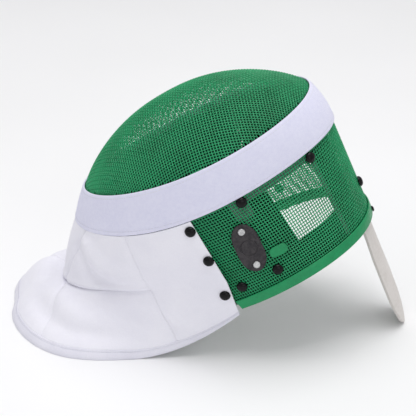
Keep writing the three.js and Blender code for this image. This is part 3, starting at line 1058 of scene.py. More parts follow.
@dataclass
class WireCage:
    """Woven wire of the dome and of the side."""

    cage: Cage = Cage()
    dome_pitch: float = 3.0
    ring_pitch: float = 0.0282
    uprights: int = 250
    rings_from: float = 0.022
    rings_to: float = 1.08
    radius: float = 0.55
    depth: float = -1.25
    weave: float = 0.56
    reach: int = 64
    soften: float = 0.004
    axis_reach: float = 1.25
    net_reach: float = 1.12
    tuck_up: float = 1.84
    outside: float = 9.0

    def build(self) -> None:
        """Make both meshes and hand them over."""
        warp, weft = self.dome_lines()
        rings, uprights = self.side_lines()
        for name, lines, node in (
            ("dome_wires_long", warp, "dome_mesh"),
            ("dome_wires_cross", weft, "dome_mesh"),
            ("side_wires_round", rings, "side_mesh"),
            ("side_wires_upright", uprights, "side_mesh"),
        ):
            hand_over(wires(name, lines, self.radius * MM), Finish.WIRE, node)

    def side_lines(self) -> tuple[Lines, Lines]:
        """Lay the rings and uprights of the side, each over and under the next.

        Returns:
            The rings and the uprights.
        """
        angles = self.even_angles()
        heights = np.arange(self.rings_from, self.rings_to, self.ring_pitch)
        grid_angle, grid_up = np.meshgrid(angles, heights, indexing="ij")
        parity = np.where((np.arange(self.uprights)[:, None] + np.arange(len(heights))[None]) % 2, 1, -1)
        over = self.cage.off(grid_angle, grid_up, self.depth + self.weave * parity)
        under = self.cage.off(grid_angle, grid_up, self.depth - self.weave * parity)
        kept = grid_up >= self.cage.side_edge(grid_angle) - 1e-6
        rings, uprights = [], []
        for k in range(len(heights)):
            inside = kept[:, k]
            if inside.all():
                rings.append((over[:, k], True))
                continue
            start = int(np.argmax(~inside))
            order = np.roll(np.arange(self.uprights), -start)
            run = order[inside[order]]
            rings.append((over[run, k], False))
        for m in range(self.uprights):
            uprights.append((under[m, kept[m]], False))
        return rings, uprights

    def even_angles(self) -> Array:
        """Angles at which the uprights stand, evenly spaced along the cage."""
        fine = np.linspace(0, 2 * math.pi, 1441)
        along = lengths(self.cage.point(fine, 0.6))
        return np.interp(np.arange(self.uprights) * along[-1] / self.uprights, along, fine)

    def dome_tables(self) -> tuple[Array, Array, Array, Array]:
        """Bearing of each point of the dome's edge, with its reach, height and angle."""
        angle = np.linspace(-math.pi, math.pi, 1441)
        edge = self.cage.front.at(angle) - np.array([self.cage.front.centre, 0, 0])
        bearing = np.unwrap(np.arctan2(-edge[:, 1], edge[:, 0]))
        return bearing, np.hypot(edge[:, 0], edge[:, 1]), edge[:, 2], angle

    def heights(self, x: Array, y: Array) -> tuple[Array, Array, Array]:
        """Height of the dome over points of its plane, carried on past the edge.

        Args:
            x: towards the crown from the dome's centre.
            y: across.

        Returns:
            Heights, shares of the way to the edge, and cage angles.
        """
        bearing, reach, lift, angle = self.tables
        facing = np.arctan2(-y, x)
        edge = np.interp(facing, bearing, reach, period=2 * math.pi)
        rho = np.hypot(x, y) / edge
        low = self.cage.front.lift
        top = np.interp(facing, bearing, lift, period=2 * math.pi) - low
        full, start = self.cage.fullness, self.soften
        left = 1 - rho * rho
        curved = np.maximum(left, start) ** full
        line = start**full + full * start ** (full - 1) * (left - start)
        bulge = np.where(left > start, curved, line)
        return low + top * rho + self.cage.dome_height * bulge, rho, facing

    def spot(self, x: Array, y: Array) -> Array:
        """Points of the dome over its plane."""
        return np.stack([x, y, self.heights(x, y)[0]], axis=-1)

    def slopes(self, x: Array, y: Array, step: float) -> tuple[Array, Array, Array]:
        """Find how steep the dome is over points of its plane.

        Args:
            x: towards the crown from the dome's centre.
            y: across.
            step: millimetres over which the rise is taken.

        Returns:
            The dome's points, and its rise for each millimetre of x and of y.
        """
        here = self.spot(x, y)
        rise_x = (self.heights(x + step, y)[0] - here[:, 2]) / step
        rise_y = (self.heights(x, y + step)[0] - here[:, 2]) / step
        return here, rise_x, rise_y

    def axis(self, along_x: bool, sign: int) -> Array:
        """Evenly spaced points of one of the dome's two middle lines."""
        run = np.linspace(0, self.axis_reach, 1200) * sign
        if along_x:
            line = self.spot(run * self.cage.front.reach, run * 0)
        else:
            line = self.spot(run * 0, run * self.cage.front.half)
        far = lengths(line)
        marks = np.arange(self.reach + 1) * self.dome_pitch
        plane = np.stack([np.interp(marks, far, line[:, k]) for k in (0, 1)], axis=-1)
        beyond = marks > far[-1]
        plane[beyond] = np.nan
        return plane

    def net(self) -> Array:
        """Lay a net of equal sides over the dome, from its two middle lines outwards.

        Returns:
            Plane coordinates of the net's knots, indexed from the middle, NaN where none.
        """
        n = self.reach
        net = np.full((2 * n + 1, 2 * n + 1, 2), np.nan)
        for sign in (-1, 1):
            net[n + sign * np.arange(n + 1), n] = self.axis(True, sign)
            net[n, n + sign * np.arange(n + 1)] = self.axis(False, sign)
        for side_x in (-1, 1):
            for side_y in (-1, 1):
                for diagonal in range(2, 2 * n):
                    i = np.arange(max(1, diagonal - n), min(n, diagonal - 1) + 1)
                    j = diagonal - i
                    a = net[n + side_x * (i - 1), n + side_y * j]
                    b = net[n + side_x * i, n + side_y * (j - 1)]
                    c = net[n + side_x * (i - 1), n + side_y * (j - 1)]
                    good = ~np.isnan(a + b + c).any(axis=-1)
                    if not good.any():
                        continue
                    knots = self.close(a[good], b[good], c[good])
                    net[n + side_x * i[good], n + side_y * j[good]] = knots
        return net

    def close(self, a: Array, b: Array, c: Array) -> Array:
        """Find the fourth corner of each mesh of the net.

        Args:
            a: the corner before it in one direction.
            b: the corner before it in the other.
            c: the corner opposite.

        Returns:
            Plane coordinates one pitch from a and from b, NaN far outside the edge.
        """
        point = a + b - c
        ends = np.stack([self.spot(*a.T), self.spot(*b.T)])
        for _ in range(9):
            here, slope_x, slope_y = self.slopes(*point.T, 0.02)
            gap = here[None] - ends
            miss = (gap**2).sum(-1) - self.dome_pitch**2
            jac_x = 2 * (gap[..., 0] + gap[..., 2] * slope_x)
            jac_y = 2 * (gap[..., 1] + gap[..., 2] * slope_y)
            det = jac_x[0] * jac_y[1] - jac_x[1] * jac_y[0]
            det = np.where(np.abs(det) < 1e-3, 1e-3, det)
            move_x = (miss[0] * jac_y[1] - miss[1] * jac_y[0]) / det
            move_y = (miss[1] * jac_x[0] - miss[0] * jac_x[1]) / det
            move = np.clip(np.stack([move_x, move_y], axis=-1), -1.5, 1.5)
            point = point - move
        far = self.heights(*point.T)[1] > self.net_reach
        point[far] = np.nan
        return point

    def dome_lines(self) -> tuple[Lines, Lines]:
        """Turn the net into wires that end under the band.

        Returns:
            The wires from chin to crown and those across.
        """
        self.tables = self.dome_tables()
        net = self.net()
        size = net.shape[0]
        parity = np.where(np.add.outer(np.arange(size), np.arange(size)) % 2, 1, -1)
        lines: tuple[list, list] = ([], [])
        for way, sign in ((0, 1), (1, -1)):
            knots = net if way else np.swapaxes(net, 0, 1)
            signs = parity if way else parity.T
            for row, mark in zip(knots, signs * sign):
                lines[way].extend(self.wire(row, mark))
        return lines

    def wire(self, row: Array, mark: Array) -> Lines:
        """Make the wires of one row of knots.

        Args:
            row: the row's plane coordinates.
            mark: 1 or -1 as the wire passes over or under.

        Returns:
            Each wire's points in metres, with False because it is open.
        """
        rho = np.where(np.isnan(row[:, 0]), self.outside, self.heights(*np.nan_to_num(row).T)[1])
        inside = np.flatnonzero(rho <= 1)
        if len(inside) < 2:
            return []
        made = []
        for run in np.split(inside, np.flatnonzero(np.diff(inside) > 1) + 1):
            if len(run) < 2:
                continue
            surface, slope_x, slope_y = self.slopes(*row[run].T, 0.05)
            normal = unit(np.stack([-slope_x, -slope_y, np.ones(len(run))], axis=-1))
            offset = self.depth + self.weave * mark[run]
            points = surface + normal * offset[:, None] + np.array([self.cage.front.centre, 0, 0])
            level = placed(levelled(points))
            start = self.tuck(row[run[0]])
            finish = self.tuck(row[run[-1]])
            made.append((np.concatenate([start, level, finish]), False))
        return made

    def tuck(self, knot: Array) -> Array:
        """Point under the band where a wire that leaves the dome near a knot ends."""
        bearing, _, _, angle = self.tables
        facing = np.arctan2(-knot[1], knot[0])
        turn = np.interp(facing, bearing, angle, period=2 * math.pi)
        return self.cage.off(np.array([turn]), np.array([self.tuck_up]), np.array([self.depth]))


# band and rim


@dataclass
class Trim:
    """White band over the joint of dome and side, and the green channel on the rim."""

    cage: Cage = Cage()
    columns: int = 220
    rim_wall: float = 1.3
    rim_width: float = 11.0
    rim_inside: float = 8.0
    mesh_inner: float = -2.4
    gap: float = 0.3
    stitch_count: int = 240
    stitch_ups: tuple[float, float] = (1.094, 1.905)
    stitch_lift: tuple[float, float, float] = (2.1, 2.5, 2.1)
    stitch_radius: float = 0.25
    ripple: float = 0.12
    band_width: float = 46.0
    band_outline: Loop = Loop(
        (
            (1.018, 0.35), (1.004, 0.6), (1.002, 1.4), (1.005, 2.15), (1.028, 2.5),
            (1.078, 2.5), (1.094, 2.0), (1.11, 2.45), (1.2, 2.5), (1.32, 2.6), (1.5, 2.7), (1.68, 2.6),
            (1.8, 2.5), (1.89, 2.45), (1.905, 2.3), (1.925, 2.4), (1.965, 2.3), (1.988, 1.9),
            (1.996, 1.4), (1.994, 0.7), (1.982, 0.35), (1.5, 0.35),
        )
    )

    def build(self) -> None:
        """Make the band and the rim."""
        self.band()
        self.rim()

    def girth(self) -> tuple[Array, Array]:
        """Angles round the cage, and the millimetres along the band's middle to each."""
        fine = np.linspace(0, 2 * math.pi, 721)
        return fine, lengths(self.cage.point(fine, 1.5))

    def band(self) -> None:
        """Sweep the band's folded outline round the cage and sew both its edges."""
        fine, far = self.girth()

        def place(u: Array, v: Array) -> tuple[Array, Array]:
            """Points and cloth coordinates of the band."""
            angle = 2 * math.pi * u
            up, off = self.band_outline.at(v)
            ripple = self.ripple * np.sin(9 * angle + 3 * up) * bell(up, 1.5, 0.3)
            cloth = np.stack([np.interp(angle, fine, far), up * self.band_width], axis=-1) * MM
            return self.cage.off(angle, up, off + ripple), cloth

        band = grid(
            "trim_band_strip", self.columns, self.band_outline.count, place, flip=True, weld=True
        )
        modify(band, "SUBSURF", levels=1, render_levels=1)
        hand_over(band, Finish.BAND, "trim_band")
        rows = [
            (self.cage.off(angle, np.full(3, up), self.stitch_lift), False)
            for angle in stitch_marks(self.stitch_count, 2 * math.pi)
            for up in self.stitch_ups
        ]
        hand_over(wires("band_stitches", rows, self.stitch_radius * MM), Finish.THREAD)

    def rim(self) -> None:
        """Sweep the rounded channel along the rear edge."""
        out = self.gap + self.rim_wall
        inn = self.mesh_inner - self.gap
        wall, width, inside = self.rim_wall, self.rim_width, self.rim_inside
        outline = Loop(
            (
                (out - 0.5, 0.0), (out - 0.1, 0.35), (out + 0.02, 1.2), (out + 0.12, width * 0.5),
                (out, width - 1.0), (out - 0.3, width - 0.2), (out - 0.8, width), (self.gap, width - 0.3),
                (self.gap, wall), (inn, wall), (inn, inside - 0.3), (inn - 0.5, inside),
                (inn - wall + 0.2, inside - 0.3), (inn - wall, inside - 1.0), (inn - wall, 1.0),
                (inn - wall + 0.3, 0.2), (inn - 0.6, 0.0), (-0.5, -0.15),
            )
        )
        end = math.radians(self.cage.rim_end)

        def place(u: Array, v: Array) -> tuple[Array, Array]:
            """Points and cloth coordinates of the channel."""
            angle = end * (2 * u - 1)
            off, rise = outline.at(v)
            base = self.cage.point(angle, 0 * angle)
            normal = outward(self.cage.point, angle, 0 * angle, 0, 1)
            up = unit(self.cage.point(angle, 0 * angle + 1) - base)
            points = base + normal * off[:, None] + up * rise[:, None]
            return placed(levelled(points)), np.stack([u, v], axis=-1)

        rim = grid("rim_channel", 150, outline.count, place, weld=True)
        end_closed(rim, 55)
        hand_over(rim, Finish.RIM, "rim_band")


# bib


@dataclass(frozen=True)
class Fold:
    """Soft ridge or valley along a straight line of the bib's own numbers."""

    start: tuple[float, float]
    end: tuple[float, float]
    height: float
    width: float

    def rise(self, turn: Array, up: Array) -> Array:
        """Millimetres that the fold lifts the cloth at some places.

        Args:
            turn: place round the bib.
            up: height number.

        Returns:
            The lift, which fades out at both ends of the line.
        """
        here = np.stack([turn, up], axis=-1) * BIB_SCALE
        first, last = np.array(self.start) * BIB_SCALE, np.array(self.end) * BIB_SCALE
        line = last - first
        reach = float(np.linalg.norm(line))
        along = ((here - first) @ line) / reach**2
        nearest = first + np.clip(along, 0, 1)[..., None] * line
        away = np.linalg.norm(here - nearest, axis=-1)
        return self.height * np.exp(-((away / self.width) ** 2)) * smooth(along, -0.1, 0.25) * (
            1 - smooth(along, 0.75, 1.1)
        )


@dataclass(frozen=True)
class Panel:
    """One cut piece of the bib between four seams."""

    name: str
    node: str
    turns: tuple[float, float]
    ups: tuple[float, float]
    columns: int
    rows: int
    held: str
    rests_on: tuple[str, ...]


@dataclass
class Bib:
    """Cloth bib of eight panels with a bound hem."""

    shape: BibShape = BibShape()
    thick: float = 2.0
    proud: float = 2.4
    hem_width: float = 0.11
    seam_gap: float = 0.00015
    bevel: float = 0.25
    seam_dip: tuple[float, float] = (1.5, 0.022)
    waist_dip: tuple[float, float, float] = (1.4, -1.012, 0.045)
    waist_ridge: tuple[float, float, float] = (1.5, -0.93, 0.06)
    puckers: float = 0.12
    floor: float = 0.4
    binding_floor: float = 0.05
    stitch_count: int = 330
    stitch_up: float = -2.026
    stitch_lift: tuple[float, float, float] = (2.6, 2.95, 2.6)
    stitch_radius: float = 0.3
    folds: tuple[Fold, ...] = (
        Fold((0.81, -0.25), (0.5, -0.98), -5.2, 8.0),
        Fold((0.78, -0.05), (0.4, -0.85), 4.4, 9.0),
        Fold((0.5, -1.15), (0.3, -1.75), 3.6, 12.0),
        Fold((0.95, -1.55), (0.5, -1.8), -4.2, 11.0),
        Fold((0.8, -1.2), (0.62, -1.65), 3.4, 13.0),
        Fold((1.25, -1.25), (1.0, -1.35), -2.4, 10.0),
        Fold((1.1, -0.2), (1.15, -0.9), -2.2, 11.0),
        Fold((1.6, -1.2), (1.35, -1.7), 3.0, 13.0),
        Fold((0.1, -0.3), (0.25, -1.1), -1.3, 16.0),
        Fold((0.05, -1.45), (0.3, -1.35), 1.6, 12.0),
    )

    def panels(self) -> list[Panel]:
        """List the cut pieces."""
        hem = self.hem_width - 2
        seam, pleat = self.shape.seam_turn, self.shape.pleat_turn
        cage, floor = ("side_mesh",), ("hem_binding",)
        left, front, right = (seam, pleat), (pleat, 2 - pleat), (2 - pleat, 2 - seam)
        collar, skirt = (0, -1), (-1, hem)
        return [
            Panel("bib_side_panel_left", "bib_side_left", (0, seam), (0, hem), 48, 84, "hung", cage),
            Panel("collar_panel_left", "collar_left", left, collar, 60, 44, "gathered", cage),
            Panel("skirt_panel_left", "skirt_left", left, skirt, 60, 48, "draped", floor),
            Panel("collar_panel_front", "collar_front", front, collar, 60, 44, "gathered", cage),
            Panel("skirt_panel_front", "skirt_front", front, skirt, 60, 48, "draped", floor),
            Panel("collar_panel_right", "collar_right", right, collar, 60, 44, "gathered", cage),
            Panel("skirt_panel_right", "skirt_right", right, skirt, 60, 48, "draped", floor),
            Panel("bib_side_panel_right", "bib_side_right", (2 - seam, 2), (0, hem), 48, 84, "hung", cage),
        ]

    def build(self) -> None:
        """Make the panels and the hem binding."""
        for panel in self.panels():
            self.panel(panel)
        self.binding()
        self.stitches()

    def sewn(self, turn: Array, up: Array) -> Array:
        """Millimetres that the seams pull the cloth in."""
        near = np.where(turn <= 1, turn, 2 - turn)
        pull = np.zeros_like(turn)
        deep, wide = self.seam_dip
        for at in (self.shape.seam_turn, self.shape.pleat_turn):
            pull += deep * bell(near, at, wide)
        between = smooth(near, self.shape.seam_turn - 0.02, self.shape.seam_turn + 0.02)
        dip, *dip_at = self.waist_dip
        ridge, *ridge_at = self.waist_ridge
        pull += between * (dip * bell(up, *dip_at) - ridge * bell(up, *ridge_at))
        return pull

    def surface(self, turn: Array, up: Array, off: Array) -> Array:
        """Points of the dressed cloth.

        Args:
            turn: place round the bib.
            up: height number.
            off: millimetres outside the bib's own surface.

        Returns:
            Points in metres.
        """
        facing = np.where(np.abs(up + 1) < 0.02, -1.0, up)
        normal = outward(self.shape.point, turn, facing, -2, 0)
        rise = sum((fold.rise(turn, up) for fold in self.folds), np.zeros_like(turn))
        rise = rise * smooth(-up, 0.03, 0.2) * smooth(up + 2, 0.1, 0.35)
        distance = off + rise - self.sewn(turn, up)
        points = self.shape.point(turn, up) + normal * distance[:, None]
        points[:, 2] = np.maximum(points[:, 2], self.floor)
        return placed(points)

    def panel(self, panel: Panel) -> None:
        """Make one panel, with its thickness."""
        (t0, t1), (u0, u1) = panel.turns, panel.ups
        cut = self.seam_gap
        t0 += cut if t0 > 0 else 0
        t1 -= cut if t1 < 2 else 0
        u0 -= cut
        u1 += cut

        def place(u: Array, v: Array) -> tuple[Array, Array]:
            """Points and cloth coordinates of the panel."""
            turn, up = t0 + (t1 - t0) * u, u0 + (u1 - u0) * v
            points = self.surface(turn, up, np.full_like(turn, self.proud))
            cloth = np.stack([turn, up], axis=-1) * BIB_SCALE * MM
            return points, cloth

        piece = grid(panel.name, panel.columns, panel.rows, place)
        self.face_out(piece)
        thickened(piece, self.thick, self.bevel, 2, 60)
        hand_over(piece, Finish.CLOTH, panel.node)
        wide, long = self.cut_size(panel)

    def face_out(self, piece: bpy.types.Object) -> None:
        """Turn a panel's faces away from the middle of the bib."""
        middle = Vector((0.03, 0, 0.09))
        total = sum((face.center - middle).dot(face.normal) * face.area for face in piece.data.polygons)
        if total < 0:
            piece.data.flip_normals()

    def cut_size(self, panel: Panel) -> tuple[float, float]:
        """Width and length of the cut piece, in metres, from the widest lines of the panel."""
        turns = np.linspace(*panel.turns, 60)
        ups = np.linspace(*panel.ups, 60)
        wide = max(lengths(self.shape.point(turns, np.full(60, up)))[-1] for up in ups)
        long = max(lengths(self.shape.point(np.full(60, turn), ups))[-1] for turn in turns)
        return wide * MM, long * MM

    def hem_line(self, count: int) -> tuple[Array, Array]:
        """Turns round the bib, and the millimetres along the binding to each."""
        turns = np.linspace(0, 2, count)
        return turns, lengths(self.shape.point(turns, -1.95))

    def binding(self) -> None:
        """Fold the hem binding round the lower edge, with a stitched groove."""
        top = self.hem_width - 2
        outline = Loop(
            (
                (top + 0.004, 0.6), (top + 0.002, 2.0), (top - 0.004, 2.9), (top - 0.016, 3.0),
                (top - 0.026, 2.55), (top - 0.036, 2.95), (top - 0.075, 3.1), (-1.985, 2.9),
                (-1.996, 2.2), (-2.0, 1.3), (-1.998, 0.2), (-1.99, -0.3), (top - 0.06, -0.3), (top, -0.2),
            )
        )

        def place(u: Array, v: Array) -> tuple[Array, Array]:
            """Points and cloth coordinates of the binding."""
            turn = 2 * u
            up, off = outline.at(v)
            normal = outward(self.shape.point, turn, np.clip(up, -1.99, 0), -2, 0)
            level = unit(normal * np.array([1, 1, 0]))
            share = smooth(-up, 1.955, 2.0)[:, None]
            normal = unit(normal * (1 - share) + level * share)
            pucker = self.puckers * np.sin(turn * 150)
            points = self.shape.point(turn, up) + normal * (off + pucker)[:, None]
            points[:, 2] = np.maximum(points[:, 2], self.binding_floor)
            fine, far = self.hem_line(600)
            cloth = np.stack([np.interp(turn, fine, far), up * BIB_SCALE[1]], axis=-1) * MM
            return placed(points), cloth

        piece = grid("hem_binding_strip", 300, outline.count, place, weld=True)
        end_closed(piece, 60)
        hand_over(piece, Finish.BINDING, "hem_binding")
        length = float(self.hem_line(400)[1][-1]) * MM

    def stitches(self) -> None:
        """Sew the binding down with a row of short stitches in its groove."""
        up = np.full(3, self.hem_width + self.stitch_up)
        lift = np.array(self.stitch_lift)[:, None]
        rows = []
        for turn in stitch_marks(self.stitch_count, 2):
            normal = outward(self.shape.point, turn, up, -2, 0)
            rows.append((placed(self.shape.point(turn, up) + normal * lift), False))
        hand_over(wires("hem_stitches", rows, self.stitch_radius * MM), Finish.THREAD)


# tongue


@dataclass
class Tongue:
    """Coated spring strip from inside the crown down to the surface."""

    wall: float = 3.0
    bevel: float = 0.9
    rows: tuple[tuple[float, float, float, float], ...] = (
        (178, 146.2, 30, 5.5), (150, 158.2, 30, 5.8), (127, 168.2, 30, 6.4), (105, 177.4, 30, 7.4),
        (85, 185.8, 30, 8.8), (60, 196.4, 30, 9.4), (34, 206.4, 29.6, 8.6), (20, 211, 27, 6.4),
        (8, 214, 20.5, 3.6), (2.2, 215, 13, 1.6), (0, 215.3, 8, 0.6),
    )

    def build(self) -> None:
        """Bend a grid to the strip, thicken it and round its edges."""
        rows = np.array(self.rows)
        far = lengths(rows[:, :2])

        def place(u: Array, v: Array) -> tuple[Array, Array]:
            """Points and cloth coordinates of the outer face."""
            mark = v * far[-1]
            z, x, half, camber = (np.interp(mark, far, rows[:, k]) for k in range(4))
            across = 2 * u - 1
            points = np.stack([x - camber * across**2, across * half, z], axis=-1)
            return placed(points), np.stack([across * half, mark], axis=-1) * MM

        piece = grid("tongue_strip", 24, 90, place)
        if sum(face.normal.x * face.area for face in piece.data.polygons) < 0:
            piece.data.flip_normals()
        thickened(piece, self.wall, self.bevel, 3, 50)
        hand_over(piece, Finish.TONGUE, "tongue")


# fastenings


@dataclass(frozen=True)
class Head:
    """Round head of a stud or rivet, its outline in shares of its radius and height."""

    radius: float
    height: float
    outline: Outline
    sides: int

    def pattern(self) -> bpy.types.Object:
        """Turn the head on the origin, its axis up."""
        radius, height = self.radius * MM, self.height * MM
        rings = [(radius * across, height * up) for across, up in self.outline]
        return turned("head_pattern", rings, self.sides)


@dataclass
class Fastenings:
    """Studs, strap plate with its rivets, and the small green plate."""

    cage: Cage = Cage()
    bib: BibShape = BibShape()
    stud: Head = Head(
        5.7,
        4.0,
        (
            (0.96, 0), (1, 0.06), (1, 0.16), (0.97, 0.3), (0.9, 0.48), (0.78, 0.68), (0.6, 0.85),
            (0.38, 0.95), (0.16, 0.995), (0.02, 1),
        ),
        28,
    )
    rivet: Head = Head(3.2, 2.0, ((0.97, 0), (1, 0.2), (0.86, 0.62), (0.5, 0.9), (0.03, 1)), 20)
    plate_rivet: Head = Head(
        3.7,
        1.8,
        ((0.97, 0), (1, 0.15), (0.98, 0.5), (0.88, 0.8), (0.7, 0.95), (0.62, 0.93), (0.03, 1)),
        26,
    )
    mesh_studs: Outline = ((73.1, 0.95), (36.2, 0.94), (77.3, 0.22), (96.2, 0.21))
    bib_studs: Outline = ((0.025, -0.125), (0.02, -0.595), (0.032, -1.305))
    crown_stud: float = 0.33
    on_mesh: float = 0.3
    on_bib: float = 2.8
    tongue_rivet_place: tuple[float, float] = (0.022, 1.9)
    plate_angle: float = 81.9
    plate_up: float = 0.535
    plate_off: float = 0.8
    rivets: float = 38.5
    plate_thick: float = 1.5
    plate_quarter: Outline = ((3.8, 26.4), (8.8, 22.8), (12.7, 15.5), (13.5, 9.0))
    plate_half: float = 26.8
    ring_radius: float = 8.4
    ring_wire: float = 0.6
    oval_size: tuple[float, float] = (19.0, 11.0)
    oval_powers: tuple[float, float] = (0.62, 0.66)
    oval_thick: float = 1.2
    oval_place: tuple[float, float, float] = (71.9, 0.38, 0.6)
    edge: float = 0.5

    def build(self) -> None:
        """Make and place every fastening."""
        pattern = self.stud.pattern()
        for side, sign in (("left", 1), ("right", -1)):
            for number, (bearing, up) in enumerate(self.mesh_studs, 1):
                place = seat(self.cage.point, sign * math.radians(bearing), up, self.on_mesh, levelled)
                name = f"mesh_button_{side}_{number}"
                hand_over(copied(pattern, name.replace("button", "stud"), place), Finish.STUD, name)
            for number, (turn, up) in enumerate(self.bib_studs, 1):
                place = seat(self.bib.point, turn if sign > 0 else 2 - turn, up, self.on_bib, same)
                name = f"bib_button_{side}_{number}"
                hand_over(copied(pattern, name.replace("button", "stud"), place), Finish.STUD, name)
        crown = seat(self.cage.point, 0.0, self.crown_stud, self.on_mesh, levelled)
        hand_over(copied(pattern, "crown_stud", crown), Finish.STUD, "crown_button")
        dropped(pattern)
        self.tongue_rivet()
        self.plate()
        self.oval_plate()

    def tongue_rivet(self) -> None:
        """Turn the small rivet that holds the tongue at the rim."""
        place = seat(self.cage.point, 0.0, *self.tongue_rivet_place, levelled)
        pattern = self.rivet.pattern()
        hand_over(copied(pattern, "tongue_stud", place), Finish.STUD, "tongue_rivet")
        dropped(pattern)

    def oval(self) -> Array:
        """Outline of the oval plate, with slightly flat sides."""
        angle = np.linspace(0, 2 * math.pi, 48, endpoint=False)
        c, s = np.cos(angle), np.sin(angle)
        (length, width), (nose, power) = self.oval_size, self.oval_powers
        across = width / 2 * np.sign(c) * np.abs(c) ** power
        along = length / 2 * np.sign(s) * np.abs(s) ** nose
        return np.stack([across, along], axis=-1)

    def slab(self, name: str, ring: Array, thick: float) -> bpy.types.Object:
        """Cut a plate to an outline: extruded, inset and rounded.

        Args:
            name: the piece's name.
            ring: points of the outline in millimetres.
            thick: thickness in millimetres.

        Returns:
            The plate on the origin, its face up.
        """
        bpy.ops.object.select_all(action="DESELECT")
        bpy.ops.mesh.primitive_circle_add(vertices=len(ring), radius=1, fill_type="NGON")
        piece = named(bpy.context.object, name)
        points = coordinates(piece.data)
        order = np.argsort(np.arctan2(points[:, 1], points[:, 0]))
        start = np.argsort(np.arctan2(ring[:, 1], ring[:, 0]))
        flat = np.zeros_like(points)
        flat[order, :2] = ring[start] * MM
        piece.data.vertices.foreach_set("co", flat.ravel())
        rise = (thick - self.edge) * MM
        with editing(piece):
            bpy.ops.mesh.extrude_region_move(TRANSFORM_OT_translate={"value": (0, 0, rise)})
            for share, widening in ((0.38, 1.6), (0.32, 1), (0.3, 1)):
                depth = self.edge * share * MM
                bpy.ops.mesh.inset(thickness=depth * widening, depth=depth)
        facing_out(piece, 35)
        return piece

    def plate(self) -> None:
        """Make the strap plate with a plain raised ring, and its two rivets."""
        bearing = math.radians(self.plate_angle)
        place = seat(self.cage.point, bearing, self.plate_up, self.plate_off, levelled)
        quarter = self.plate_quarter
        side = [*quarter, *((x, -y) for x, y in reversed(quarter)), (0, -self.plate_half)]
        corners = np.array([*side, *((-x, -y) for x, y in side)], float)
        plate = self.slab("plate_body", self.rounded(corners, 2), self.plate_thick)
        bpy.ops.object.select_all(action="DESELECT")
        bpy.ops.mesh.primitive_torus_add(
            major_radius=self.ring_radius * MM,
            minor_radius=self.ring_wire * MM,
            major_segments=48,
            minor_segments=8,
            location=(0, 0, self.plate_thick * MM),
        )
        ring_piece = bpy.context.object
        bpy.ops.object.transform_apply(location=True, rotation=True, scale=True)
        bpy.ops.object.shade_smooth()
        whole = joined("plate_pattern", [plate, ring_piece])
        hand_over(copied(whole, "strap_plate_metal", place), Finish.PLATE, "strap_plate")
        dropped(whole)
        pattern = self.plate_rivet.pattern()
        for number, end in ((1, -1), (2, 1)):
            spot = place @ Matrix.Translation((0, end * self.rivets / 2 * MM, 1.6 * MM))
            head = copied(pattern, f"plate_rivet_head_{number}", spot)
            hand_over(head, Finish.STEEL, f"plate_rivet_{number}")
        dropped(pattern)

    def rounded(self, corners: Array, rounds: int) -> Array:
        """Cut the corners of a closed outline again and again until it is smooth."""
        for _ in range(rounds):
            after = np.roll(corners, -1, axis=0)
            near, far = corners * 0.75 + after * 0.25, corners * 0.25 + after * 0.75
            corners = np.stack([near, far], axis=1).reshape(-1, 2)
        return corners

    def oval_plate(self) -> None:
        """Make the bare green oval, its long way round the cage."""
        bearing, up, off = self.oval_place
        upright = seat(self.cage.point, math.radians(bearing), up, off, levelled)
        place = upright @ Matrix.Rotation(math.pi / 2, 4, "Z")
        pattern = self.slab("oval_pattern", self.oval(), self.oval_thick)
        hand_over(copied(pattern, "oval_plate_green", place), Finish.RIM, "oval_plate")
        dropped(pattern)


# linings


Edge = Callable[[Array], Array]


def level(up: float) -> Edge:
    """Edge that keeps one height number all along."""
    return lambda degrees: np.full_like(degrees, up)


@dataclass(frozen=True)
class Patch:
    """Part of the cage that a pad or tape covers, with the CAD node that the piece stands for."""

    name: str
    node: str
    bearings: tuple[float, float]
    low: Edge
    high: Edge
    finish: Finish = Finish.PADDING

    def at(self, u: Array, v: Array) -> tuple[Array, Array, Array]:
        """Find places on the patch.

        Args:
            u: share of the way from the first bearing to the last.
            v: share of the way from the lower edge to the upper one.

        Returns:
            Angles in radians, height numbers, and cloth coordinates in metres.
        """
        degrees = self.bearings[0] + (self.bearings[1] - self.bearings[0]) * u
        bottom = self.low(degrees)
        up = bottom + (self.high(degrees) - bottom) * v
        return np.radians(degrees), up, np.stack([degrees, up], axis=-1) * CAGE_SCALE * MM


